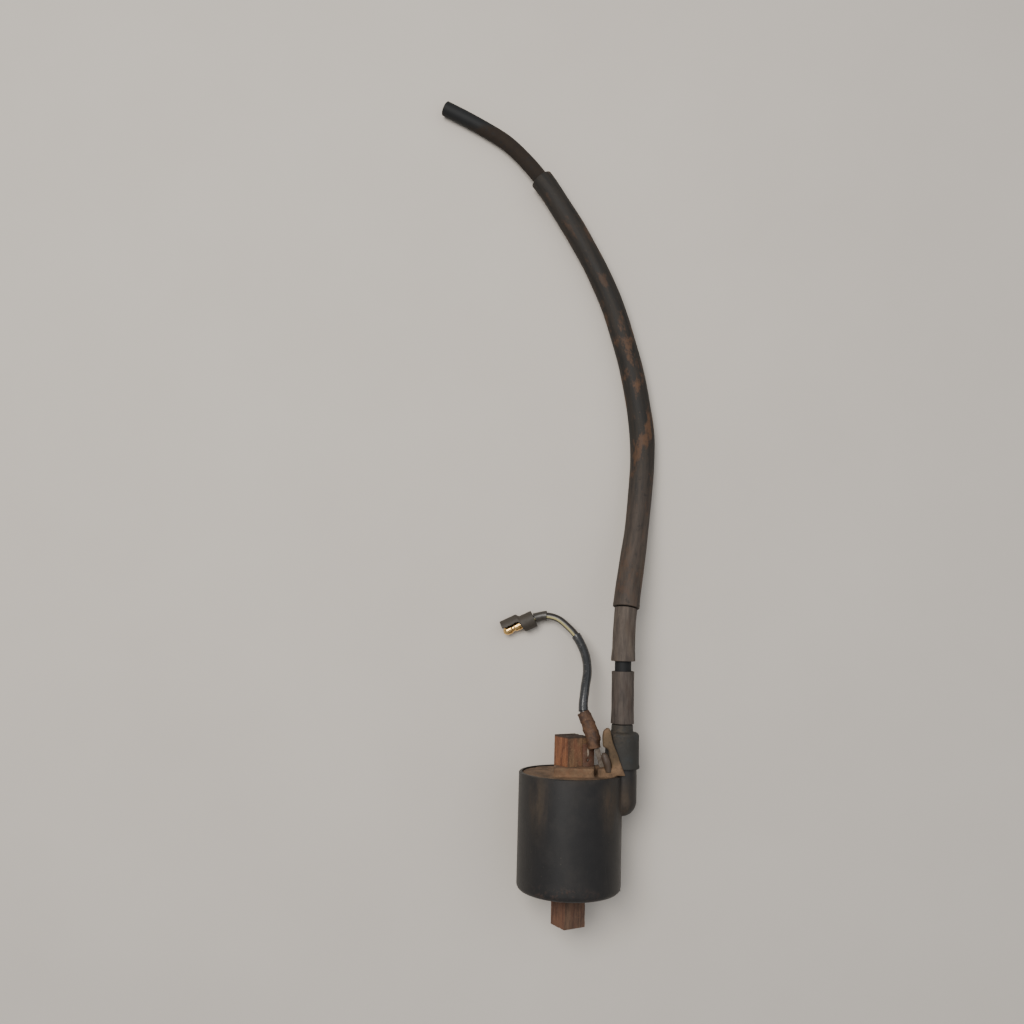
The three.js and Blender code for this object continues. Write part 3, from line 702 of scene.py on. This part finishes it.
def make_lead():
    line = line_through(LEAD_ROUTE)
    end, rim = line.length, 0.35 * MM
    profile = [(0.0, 1.25 * MM), (0.0, LEAD_R - rim), (rim, LEAD_R)]
    profile += [(s, LEAD_R) for s in stations(0.004, end - rim, 0.003)]
    profile += [(end, LEAD_R - rim), (end, 2.35 * MM)]
    profile += [(end - 0.15 * MM, 2.3 * MM), (end - 0.15 * MM, 1.45 * MM)]
    profile += [(s, 1.25 * MM) for s in stations(end - 0.4 * MM, 0.004, 0.006)]
    lead = skin("lead", line, profile, 40, True, wobble(0.12 * MM, 0.012, 3.0))
    settle(lead, "coil", "lead_jacket", lead_look(), "ht_lead")

    core = bmesh.new()
    start = line.at_y(at(0, 21, 0).y)
    random.seed(4)
    for k in range(7):
        angle = tau * k / 6
        offset = 0.0 if k == 6 else 0.72 * MM
        tip = end + random.uniform(-0.2, 0.35) * MM
        lay = 0.028
        rings = []
        for s in stations(start, tip, 0.004):
            origin, _, normal, side = line.frame(min(s, end))
            if s > end:
                origin = origin + line.frame(end)[1] * (s - end)
            a = angle + tau * s / lay
            centre = origin + (normal * cos(a) + side * sin(a)) * offset
            ring = []
            for n in range(8):
                b = tau * n / 8
                ring.append(core.verts.new(centre + (normal * cos(b) + side * sin(b)) * 0.35 * MM))
            rings.append(ring)
        loft(core, rings)
    conductor = built("lead_strands", core)
    tinned = steel_look("tinned_strands", (176, 150, 118), (120, 92, 66), (92, 60, 40), 0.7)
    settle(conductor, "coil", "copper", tinned, "ht_conductor")

    lower_look = sleeve_look(
        "sleeve_rubber_lower", (54, 47, 43), (84, 75, 68), (66, 54, 46), 0.5, 1.0)
    middle_look = sleeve_look(
        "sleeve_rubber_middle", (62, 54, 49), (92, 82, 73), (74, 62, 52), 0.5, 21.0)
    sleeves = [
        (
            "sleeve_lower", "guard_sleeve_lower", "sleeve", 42.4, 64.3, "sleeve_rubber",
            along([(0, 5.0), (0.12, 4.85), (0.3, 4.72), (0.85, 4.72), (1, 4.8)]),
            lower_look, wobble(0.16 * MM, 0.011, 1.0),
        ),
        (
            "sleeve_middle", "guard_sleeve_middle", "coil", 68.5, 90.8, "sleeve_rubber",
            along([(0, 5.2), (0.08, 5.1), (0.25, 4.85), (0.8, 4.8), (1, 4.9)]),
            middle_look, wobble(0.16 * MM, 0.011, 7.0),
        ),
        (
            "sleeve_long", "guard_sleeve_long", "coil", 91.2, 289.1, "long_sleeve_rubber",
            along([(0, 5.75), (0.02, 5.65), (0.1, 5.5), (0.2, 5.25), (0.3, 5.4), (0.37, 5.6), (0.45, 5.4),
                   (0.6, 5.25), (0.95, 5.2), (1, 5.35)]),
            long_sleeve_look(), wobble(0.22 * MM, 0.017, 13.0),
        ),
    ]
    for name, node, body, low, high, slot, radius, look, ripple in sleeves:
        start, stop = line.at_y(at(0, low, 0).y), line.at_y(at(0, high, 0).y)
        outer = lambda s, a=start, b=stop, r=radius: r((s - a) / (b - a))
        profile = sleeve_profile(start, stop, outer, lambda s: BORE_R, 0.0016)
        piece = skin(name, line, profile, 56, True, bored(ripple, 4.3 * MM))
        settle(piece, body, slot, look, node)
    [line.frame(s)[0] for s in stations(0, line.length, 0.004)]


def bored(ripple, limit):
    """Only the outer wall of a tube is uneven: its bore stays true."""
    return lambda s, angle, radius: ripple(s, angle, radius) if radius > limit else radius


def long_sleeve_look():
    look = Look("long_sleeve_rubber", 0.8, Specular_IOR_Level=0.35)
    place = look.unrolled()
    streaks = look.noise(1.8, 5, 0.65, look.stretched(place, (0.12, 1, 1)), 31)
    dark = look.blend(look.grade(streaks, 0.32, 0.7), (24, 22, 19), (44, 38, 32))
    pale = look.blend(look.grade(streaks, 0.3, 0.7), (48, 41, 36), (78, 67, 58))
    near = look.grade(look.along("Y"), at(0, 120, 0).y, at(0, 176, 0).y, 1.0, 0.0)
    base = look.stain(dark, near, 0.85, pale)
    mottled = look.noise(6, 6, 0.7, look.stretched(place, (0.45, 1, 1)), 34)
    middle = look.patch(at(33, 185, 5), (60, 75, 40))
    blotches = look.times(look.grade(mottled, 0.5, 0.6), look.plus(look.times(middle, 0.55), 0.35))
    base = look.blend(blotches, base, (86, 60, 40))
    dark_spots = look.spots(0.56, 0.66, 4, 6, 0.7, place, 36)
    base = look.stain(base, dark_spots, 0.6, (30, 27, 25))
    grit = look.spots(0.6, 0.7, 0.9, 5, 0.75, place, 38)
    look.colour(look.stain(base, grit, 0.4, (104, 86, 68)))
    look.rough(streaks, 0.5, 0.85)
    look.bump(streaks, 0.09)
    look.bump(mottled, 0.22)
    look.bump(look.noise(0.4, 4, 0.7, place, 39), 0.05)
    return look


# ---- primary wire, its sleeves, bullet terminal and cover ----
WIRE_R = 1.5 * MM


def make_wire():
    line = line_through(WIRE_ROUTE)
    end = line.length
    profile = [(0.0, 0.95 * MM), (0.0, WIRE_R - 0.15 * MM), (0.15 * MM, WIRE_R)]
    profile += [(s, WIRE_R) for s in stations(0.001, end - 0.15 * MM, 0.0012)]
    profile += [(end, WIRE_R - 0.15 * MM), (end, 0.95 * MM)]
    profile += [(s, 0.95 * MM) for s in stations(end - 0.001, 0.001, 0.004)]
    wire = skin("wire", line, profile, 28, True, wobble(0.05 * MM, 0.006, 2.0))
    settle(wire, "coil", "wire_jacket", wire_look(), "primary_wire")

    core = [(0.0003, 0), (0.0003, 0.7 * MM)]
    core += [(s, 0.75 * MM) for s in stations(0.0006, end - 0.0006, 0.002)]
    core += [(end - 0.0003, 0.7 * MM), (end - 0.0003, 0)]
    strand = skin("wire_strand", line, core, 16)
    settle(strand, "coil", "copper", winding_look("wire_copper", 0.4), "primary_conductor")

    long_look = wire_sleeve_look("wire_sleeve_long", (30, 31, 32), (50, 51, 52), 0.26)
    short_look = wire_sleeve_look("wire_sleeve_short", (34, 31, 28), (64, 58, 49), 0.4)
    pieces = []
    for name, node, share, radius, look in (
        ("wire_sleeve_long", "primary_sleeve_long", (0.102, 0.6), 1.96 * MM, long_look),
        ("wire_sleeve_short", "primary_sleeve_short", (0.833, 0.91), 2.1 * MM, short_look),
    ):
        start, stop = share[0] * end, share[1] * end
        flare = lambda s, a=start, b=stop, r=radius: r + 0.18 * MM * max(
            exp(-(s - a) / 0.0012), exp(-(b - s) / 0.0012))
        profile = sleeve_profile(start, stop, flare, lambda s: 1.66 * MM, 0.0008, 0.14 * MM)
        piece = skin(name, line, profile, 36, True, bored(wobble(0.1 * MM, 0.005, 5.0), 1.9 * MM))
        pieces.append(settle(piece, "coil", "wire_sleeve", look, node))
    pieces += make_bullet()
    [line.frame(s)[0] for s in stations(0, end, 0.002)]


def make_bullet():
    start, tip = at(*WIRE_ROUTE[-1]), at(*BULLET_TIP)
    length = (tip - start).length / MM
    r = 1.95
    profile = [(0, 0.3), (1.6, 0.3), (1.66, 0.2), (1.68, -2.8), (1.72, -2.95), (1.9, -2.95), (1.97, -2.8)]
    profile += [(1.97, -1.6), (1.8, -1.3), (1.8, -0.9), (1.97, -0.6), (1.97, 0.9)]
    profile += [(2.12, 1.1), (2.12, 1.7), (r, 1.9)]
    waist = [(0, 5.7), (0.12, 5.5), (0.42, 5.1), (0.45, 4.7), (0.42, 4.3), (0.12, 3.9), (0, 3.7)]
    profile += [(r - deep, length - back) for deep, back in waist]
    profile += arc(0, length - r, r, 0, 82, 10) + [(0, length)]
    bullet = turned("bullet", start, tip, profile, 64, sharp=28)
    settle(bullet, "coil", "brass", brass_look(), "bullet_terminal")
    return [bullet, make_cover(start, tip, length)]


def make_cover(start, tip, length):
    """The terminal's cover: a whole collar round the wire, then a shell torn open along one side."""
    axis = (tip - start).normalized()
    across = Vector((-axis.y, axis.x, 0)).normalized() * -1
    if across.y < 0:
        across = -across
    upward = across.cross(axis).normalized()
    if upward.z < 0:
        upward = -upward
    low, collar, top = -6.1, 0.1, length - 0.3
    random.seed(8)
    made = bmesh.new()
    rows = stations(low, top, 0.35)
    columns = 48

    def ring_point(d, angle, radius, shift):
        direction = across * cos(angle) + upward * sin(angle)
        return start + axis * d * MM + across * shift * MM + direction * radius * MM

    walls = []
    for outer in (True, False):
        grid = []
        for d in rows:
            t = min(max((d - collar + 0.6) / 1.4, 0.0), 1.0)
            t = t * t * (3 - 2 * t)
            half = pi * (1 - t) + t * radians(86 + 9 * noise.noise(Vector((d * 0.7, 3, 0))))
            shift = 1.55 * t
            radius = (3.75 - 0.15 * t) if outer else (2.3 + 0.6 * t)
            radius += 0.12 * noise.noise(Vector((d * 0.4, 1.0, 5.0)))
            row = []
            for k in range(columns + 1):
                share = k / columns * 2 - 1
                torn = 1 + 0.05 * t * noise.noise(Vector((d * 1.7, 9.0 if share > 0 else 2.0, 0)))
                bump = 0.07 * noise.noise(Vector((d * 0.8, cos(share * 3) * 2, sin(share * 3) * 2)))
                row.append(made.verts.new(ring_point(d, share * half * torn, radius + bump, shift)))
            grid.append(row)
        walls.append(grid)
    outside, inside = walls
    for grid in walls:
        for a, b in zip(grid, grid[1:]):
            for k in range(columns):
                made.faces.new((a[k], a[k + 1], b[k + 1], b[k]))
    for edge in (0, -1):
        for k in range(columns):
            made.faces.new((outside[edge][k], outside[edge][k + 1], inside[edge][k + 1], inside[edge][k]))
        for i in range(len(rows) - 1):
            made.faces.new((outside[i][edge], outside[i + 1][edge], inside[i + 1][edge], inside[i][edge]))
    bmesh.ops.remove_doubles(made, verts=made.verts, dist=0.02 * MM)
    cover = built("bullet_cover_torn", made, 40)
    look = plain_look("cover_rubber", (38, 34, 29), (70, 62, 52), 0.62, 0.06)
    return settle(cover, "coil", "cover_rubber", look, "bullet_cover")


make_lead()
make_wire()


# ---- the case with its tower ----
TOWER_R = 6.3
TOWER_LOW = 4.5
FILLET = 1.3
CASE_AXIS = at(0, 0, CASE_R), at(0, 1, CASE_R)
TOWER_AXIS = at(TOWER_X, 0, TOWER_Z), at(TOWER_X, 1, TOWER_Z)


def outline(radius, tower_r):
    """The case's section across its axis, in millimetres about the axis: a round body, a round tower and the
    hollow fillets between them."""
    tower = Vector((TOWER_X, TOWER_Z - CASE_R))
    reach, lean = tower.length, atan2(tower.y, tower.x)
    a, b = radius + FILLET, tower_r + FILLET
    foot = acos(min(1.0, (reach ** 2 + a ** 2 - b ** 2) / (2 * reach * a)))
    centre = Vector((a * cos(foot), a * sin(foot)))
    turn = atan2(centre.y, centre.x - reach)
    half = []
    for i in range(15):
        w = turn * i / 14
        half.append(Vector((reach + tower_r * cos(w), tower_r * sin(w))))
    from_angle = turn + pi
    to_angle = foot + pi
    for i in range(1, 9):
        w = from_angle + (to_angle - from_angle) * i / 9
        half.append(centre + FILLET * Vector((cos(w), sin(w))))
    for i in range(61):
        w = foot + (pi - foot) * i / 60
        half.append(radius * Vector((cos(w), sin(w))))
    whole = half + [Vector((p.x, -p.y)) for p in reversed(half[1:-1])]
    c, s = cos(lean), sin(lean)
    return [(p.x * c - p.y * s, p.x * s + p.y * c) for p in whole]


def make_case():
    edge, low, high, lip = 2.4, -26.0, 21.7, 0.4
    rows = []
    for w in (88, 72, 54, 36, 18):
        turn = radians(w)
        rows.append((CASE_R - edge + edge * cos(turn), low + edge - edge * sin(turn), 0.12))
    rows += [(CASE_R, y, 0.12) for y in stations(low + edge, TOWER_LOW, 2.0)]
    middle = TOWER_LOW + TOWER_R
    for w in (8, 16, 25, 35, 45, 56, 67, 78, 90):
        turn = radians(w)
        rows.append((CASE_R, middle - TOWER_R * cos(turn), max(0.15, TOWER_R * sin(turn))))
    rows += [(CASE_R, y, TOWER_R) for y in stations(middle + 1.5, high - lip, 2.0)]
    rows += [(CASE_R - 0.15, high - 0.15, TOWER_R - 0.05), (CASE_R - lip, high, TOWER_R - 0.1)]
    made = bmesh.new()
    rings = []
    for radius, y, tower_r in rows:
        rings.append([made.verts.new(at(x, y, z + CASE_R)) for x, z in outline(radius, tower_r)])
    loft(made, rings)
    case = built("case", made)
    inner, floor = CASE_R - CASE_WALL, -23.7
    room = [(0, floor), (inner - 1, floor), (inner, floor + 1), (inner, 23), (0, 23)]
    combine(case, turned("cavity", *CASE_AXIS, room, 128), "DIFFERENCE")
    wide, top = TOWER_R - 0.1, 36.0
    neck = [(0, 11), (wide, 11), (wide, 33.2), (6.0, 33.6), (6.0, top - 0.5), (5.6, top), (0, top)]
    combine(case, turned("tower", *TOWER_AXIS, neck, 96), "UNION")
    socket = [(0, 10.3), (2.5, 10.3), (2.5, 13.5), (3.9, 13.5), (3.9, 40), (0, 40)]
    combine(case, turned("bore", *TOWER_AXIS, socket, 64), "DIFFERENCE")
    hole = core_block("hole", CORE_SIDE + 0.6, -28, -22)
    combine(case, hole, "DIFFERENCE")
    soften(case, 30)
    settle(case, "coil", "case", case_look(), "coil_case")


def core_block(name, side, low, high):
    made = bmesh.new()
    bmesh.ops.create_cube(made, size=1.0)
    bmesh.ops.scale(made, vec=(side * MM, (high - low) * MM, side * MM), verts=made.verts)
    for v in made.verts:
        v.co = CORE_TURN @ v.co + at(0, (low + high) / 2, CASE_R)
    return built(name, made)


# ---- the cast resin ----
def block(name, low, high):
    """A plain block between two corners, for cutting or filling."""
    made = bmesh.new()
    bmesh.ops.create_cube(made, size=1.0)
    low, high = at(*low), at(*high)
    for v in made.verts:
        v.co = Vector([l + (h - l) * (c + 0.5) for l, h, c in zip(low, high, v.co)])
    return built(name, made)


def make_resin():
    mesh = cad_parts["potting_resin"].data.copy()
    resin = bpy.data.objects.new("resin", mesh)
    bpy.context.scene.collection.objects.link(resin)
    combine(resin, block("trim", (11.5, 33.7, 18), (13.9, 42, 26.8)), "DIFFERENCE")
    combine(resin, block("trim_low", (11.4, 33.8, 17.9), (15.7, 42.1, 25.2)), "DIFFERENCE")
    combine(resin, block("fill", (12.9, 20.8, 27), (17.4, 24.7, 31.3)), "UNION")
    remesh = resin.modifiers.new("remesh", "REMESH")
    remesh.mode = "VOXEL"
    remesh.voxel_size = 0.45 * MM
    smooth = resin.modifiers.new("smooth", "SMOOTH")
    smooth.factor = 0.5
    smooth.iterations = 6
    apply_modifiers(resin)
    centre = at(0, 0, CASE_R)
    top_low, top_high, climb_from = at(0, 20, 0).y, at(0, 22, 0).y, 18.2
    for v in resin.data.vertices:
        place = v.co / MM
        if v.co.y < top_low:
            continue
        sway = 0.16 * noise.noise(place * 0.35) + 0.06 * noise.noise(place * 1.3)
        v.co += v.normal * sway * MM
        away = Vector((v.co.x - centre.x, v.co.z - centre.z)).length / MM
        if v.normal.y > 0.8 and v.co.y < top_high and away > climb_from:
            v.co.y += 0.3 * MM * ((away - climb_from) / 2) ** 2
    soften(resin, 60)
    settle(resin, "coil", "resin", resin_look(), "potting_resin")


# ---- the laminated core ----
def make_core():
    look = core_look()
    pitch = CORE_SIDE / CORE_PLATES
    random.seed(12)
    for i in range(CORE_PLATES):
        name = f"core_sheet_{i + 1:02d}"
        made = bmesh.new()
        bmesh.ops.create_cube(made, size=1.0)
        low = CORE_LOW + random.uniform(0.0, 0.22)
        high = CORE_HIGH - random.uniform(0.0, 0.22)
        sway = random.uniform(-0.06, 0.06)
        thick = pitch - 0.05
        bmesh.ops.scale(made, vec=(CORE_SIDE - 0.1, high - low, thick), verts=made.verts)
        lengthwise = [e for e in made.edges if abs((e.verts[0].co - e.verts[1].co).y) > 1]
        bmesh.ops.subdivide_edges(made, edges=lengthwise, cuts=90)
        crosswise = [e for e in made.edges if abs((e.verts[0].co - e.verts[1].co).x) > 2]
        outside = i in (0, CORE_PLATES - 1)
        bmesh.ops.subdivide_edges(made, edges=crosswise, cuts=13 if outside else 3, use_grid_fill=True)
        half = CORE_SIDE / 2
        for v in made.verts:
            place = v.co.copy()
            seed = Vector((0, 0, 4.0 * i))
            wear = 0.07 * noise.noise(place * 0.9 + seed) + 0.05 * noise.noise(place * 2.7 + seed)
            if abs(place.x) > half - 0.2:
                v.co.x += wear + sway * 0.5
            if outside and (place.z > 0) == (i > 0):
                v.co.z += (wear * 0.9 - 0.03) * (1 if i else -1)
        for v in made.verts:
            place = CORE_TURN @ Vector((v.co.x, 0, v.co.z + (i - (CORE_PLATES - 1) / 2) * pitch))
            v.co = at(place.x, v.co.y + (low + high) / 2, place.z + CASE_R)
        settle(built(name, made, 40), "coil", "core_steel", look, f"core_plate_{i + 1:02d}")


# ---- the rubber cap on the tower ----
def make_cap():
    low, high, neck = 24.1, 39.0, 42.1
    profile = [(6.55, low + 0.25), (6.72, low)] + arc(6.98, low + 0.45, 0.42, -90, 0, 5)
    profile += [(7.4, low + 1.1), (7.22, low + 1.6), (7.15, low + 2.4)]
    foot, shoulder = low + 2.4, high - 1.7
    for t in (0.2, 0.4, 0.6, 0.8, 1.0):
        profile.append((7.15 - 0.06 * sin(t * pi), foot + t * (shoulder - foot)))
    profile += arc(5.6, high - 1.55, 1.55, 0, 80, 8)
    profile += [(5.0, high + 0.05), (4.75, high + 0.25), (4.6, high + 0.7)]
    profile += [(4.55, neck - 0.6), (4.45, neck - 0.15), (4.25, neck)]
    profile += [(3.95, neck), (3.88, neck - 0.2), (3.88, 36.9), (3.95, 36.65), (6.4, 36.6), (6.55, 36.3)]
    soft = wobble(0.14 * MM, 0.009, 17.0)
    cap = turned("cap", *TOWER_AXIS, profile, 96, True, bored(soft, 4.3 * MM), sharp=50)
    settle(cap, "cap", "boot_rubber", boot_look(), "tower_cap")


# ---- the joint: wrap, strip, tag and tail sleeve ----
def make_wrap():
    """A rust-soaked ribbon round the joint: oval in section, its last fold standing out at one side."""
    line = line_through(WRAP_ROUTE)
    upright = along([(0, 2.1), (0.3, 2.3), (0.8, 2.25), (1, 2.1)])
    folded = along([(0, 2.5), (0.14, 2.55), (0.23, 3.2), (0.45, 3.15), (0.75, 2.75), (1, 2.4)])
    other = along([(0, 2.75), (0.4, 2.95), (0.8, 2.85), (1, 2.55)])

    def oval(angle, a, b):
        return 1 / hypot(cos(angle) / a, sin(angle) / b)

    def ripple(s, angle, radius):
        if radius < 2 * MM:
            return oval(angle, 1.68 * MM, 2.34 * MM)
        share = s / line.length
        broad = folded(share) if sin(angle) > 0 else other(share)
        turn = (share * 4.0 + angle / tau) % 1.0
        ridge = 0.22 * MM * max(0.0, turn - 0.55) / 0.45
        place = Vector((s / 0.0034, cos(angle) * 1.3, sin(angle) * 1.3))
        return oval(angle, upright(share), broad) + ridge + 0.3 * MM * noise.noise(place)

    profile = sleeve_profile(
        -0.3 * MM, line.length + 0.3 * MM, lambda s: 2.3 * MM, lambda s: 1.7 * MM, 0.00022, 0.15 * MM)
    wrap = skin("wrap", line, profile, 72, True, ripple, sharp=60)
    settle(wrap, "coil", "wrap_tape", wrap_look(), "terminal_wrap")


def make_strip():
    line = line_through(STRIP_ROUTE)
    top = [(-1.05, -0.22), (-0.97, -0.3), (0.97, -0.3), (1.05, -0.22)]
    section = top + [(w, -t) for w, t in reversed(top)]
    made = bmesh.new()
    rings = []
    for s in stations(0.0004, line.length, 0.0006):
        origin, tangent, normal, side = line.frame(s)
        taper = 1.0 if s < line.length - 0.002 else 0.8
        bend = 0.1 * MM * noise.noise(Vector((s / 0.004, 2, 2)))
        corners = [origin + side * w * taper * MM + normal * (t * MM + bend) for w, t in section]
        rings.append([made.verts.new(corner) for corner in corners])
    loft(made, rings)
    strip = built("strip", made, 30)
    look = steel_look("tinned_strip", (118, 108, 97), (84, 75, 66), (66, 50, 39), 0.7)
    settle(strip, "coil", "tinned_steel", look, "terminal_strip")


def make_tail():
    line = line_through(TAIL_ROUTE)
    end = line.length
    r = along([(0, 1.3), (0.45, 1.35), (0.7, 1.6), (0.88, 1.45), (1, 0.75)])
    start = line.at_y(at(0, 23.6, 0).y)
    profile = [(start, 0.8 * MM), (start, r(start / end))]
    profile += [(s, r(s / end)) for s in stations(start + 0.0004, end - 0.0004, 0.0005)]
    profile.append((end - 0.1 * MM, 0.42 * MM))
    profile += [(s, 0.8 * MM) for s in stations(end - 1.2 * MM, start + 0.0005, 0.002)]
    uneven = bored(wobble(0.14 * MM, 0.004, 9.0), 1.2 * MM)
    tail = skin("tail_sleeve", line, profile, 40, True, uneven, sharp=60)
    look = wire_sleeve_look("tail_varnish", (46, 35, 27), (76, 60, 46), 0.6)
    settle(tail, "coil", "tail_sleeve", look, "winding_tail_sleeve")
    core = [(0.0002, 0), (0.0002, 0.4 * MM)] + [(s, 0.42 * MM) for s in stations(0.0005, 0.93 * end, 0.001)]
    core += [(0.94 * end, 0.36 * MM), (0.94 * end, 0)]
    wire = skin("tail_wire", line, core, 14)
    settle(wire, "coil", "copper", winding_look("tail_copper", 0.3), "winding_tail")


def make_tag():
    left, right, low, high, foot, thick, hole_r = 1.9, 7.6, 20.6, 34.0, 5.6, 0.8, 0.65
    hole_x, hole_y = 4.35, 27.2
    corner = 0.7
    rim = []
    for cx, start in ((right - corner, 0), (left + corner, 90)):
        rim += arc(cx, high - corner, corner, start, start + 90, 6)
    rim += [(left, y) for y in stations(high - 1.6, low, 1.1)]
    rim += [(x, low) for x in stations(left + 1, right, 1.2)]
    rim += [(right, y) for y in stations(low + 1.1, high - 1.6, 1.1)]
    hole = arc(hole_x, hole_y, hole_r, 0, 360, 28)[:-1]
    made = bmesh.new()
    edges = []
    for loop in (rim, hole):
        verts = [made.verts.new((x, y, 0)) for x, y in loop]
        edges += [made.edges.new((verts[i], verts[(i + 1) % len(verts)])) for i in range(len(verts))]
    filled = bmesh.ops.triangle_fill(made, edges=edges, use_beauty=True)
    faces = [g for g in filled["geom"] if isinstance(g, bmesh.types.BMFace)]
    pushed = bmesh.ops.extrude_face_region(made, geom=faces)
    for g in pushed["geom"]:
        if isinstance(g, bmesh.types.BMVert):
            g.co.z += thick
    bmesh.ops.recalc_face_normals(made, faces=made.faces)
    sharp = [e for e in made.edges if len(e.link_faces) == 2 and e.calc_face_angle(0) > 1.0]
    bmesh.ops.bevel(made, geom=sharp, offset=0.12, segments=2, affect="EDGES", profile=0.5)
    for v in made.verts:
        x, y, z = v.co
        bow = 0.12 * noise.noise(Vector((x * 0.25, y * 0.25, 1)))
        placed = CORE_TURN @ Vector((x, 0, z + foot + bow))
        v.co = at(placed.x, y, placed.z + CASE_R)
    tag = built("tag", made, 30)
    # where the painted highlight streak sits, above the hole
    painted_glint = at(7.0, 30.6, 25)
    look = steel_look("tag_steel", (132, 106, 90), (88, 68, 57), (92, 58, 42), 0.9, painted_glint)
    settle(tag, "coil", "tag_steel", look, "earth_tag")


make_case()
make_resin()
make_core()
make_cap()
make_wrap()
make_strip()
make_tail()
make_tag()


# ---- inner pieces, which keep their CAD shapes ----
def dress_inner_nodes():
    bobbin = plain_look("bobbin_plastic", (168, 160, 142), (206, 198, 178), 0.55, 0.03)
    paper = plain_look("varnished_paper", (176, 146, 96), (208, 180, 126), 0.6, 0.05)
    thick_wire = winding_look("thick_winding", 0.6)
    thin_wire = winding_look("thin_winding", 0.2)
    brass = brass_look()
    looks = {
        "primary_bobbin": bobbin,
        "secondary_bobbin": bobbin,
        "primary_insulation": paper,
        "primary_winding": thick_wire,
        "secondary_winding_1": thin_wire,
        "secondary_winding_2": thin_wire,
        "secondary_winding_3": thin_wire,
        "ht_link": thick_wire,
        "ht_terminal_screw": brass,
    }
    for name, look in looks.items():
        dress(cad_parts[name], look)


dress_inner_nodes()


# ---- floor and light ----
def make_stage():
    bpy.ops.mesh.primitive_plane_add(size=6.0, location=(0, 0, -0.0002))
    floor = bpy.context.object
    floor.name = "floor"
    look = Look("floor_paint", 0.85)
    look.colour(look.blend(look.noise(60, 3, seed=1), (196, 188, 178), (204, 197, 187)))
    dress(floor, look)


def make_light(name, kind, energy, size, location, target, colour=(1, 1, 1)):
    data = bpy.data.lights.new(name, kind)
    data.energy = energy
    data.size = size
    data.color = colour
    light = bpy.data.objects.new(name, data)
    bpy.context.scene.collection.objects.link(light)
    light.location = location
    light.rotation_mode = "QUATERNION"
    light.rotation_quaternion = (Vector(target) - Vector(location)).to_track_quat("-Z", "Y")


make_stage()
make_light("key", "AREA", 9.0, 0.5, (-0.28, 0.34, 0.9), (0, 0.06, 0), (1.0, 0.97, 0.93))
make_light("fill", "AREA", 3.5, 1.2, (0.7, 0.5, 1.1), (0, 0.1, 0), (0.94, 0.97, 1.0))
world = bpy.data.worlds.new("world")
world.use_nodes = True
world.node_tree.nodes["Background"].inputs["Color"].default_value = (0.82, 0.84, 0.88, 1)
world.node_tree.nodes["Background"].inputs["Strength"].default_value = 0.45
bpy.context.scene.world = world
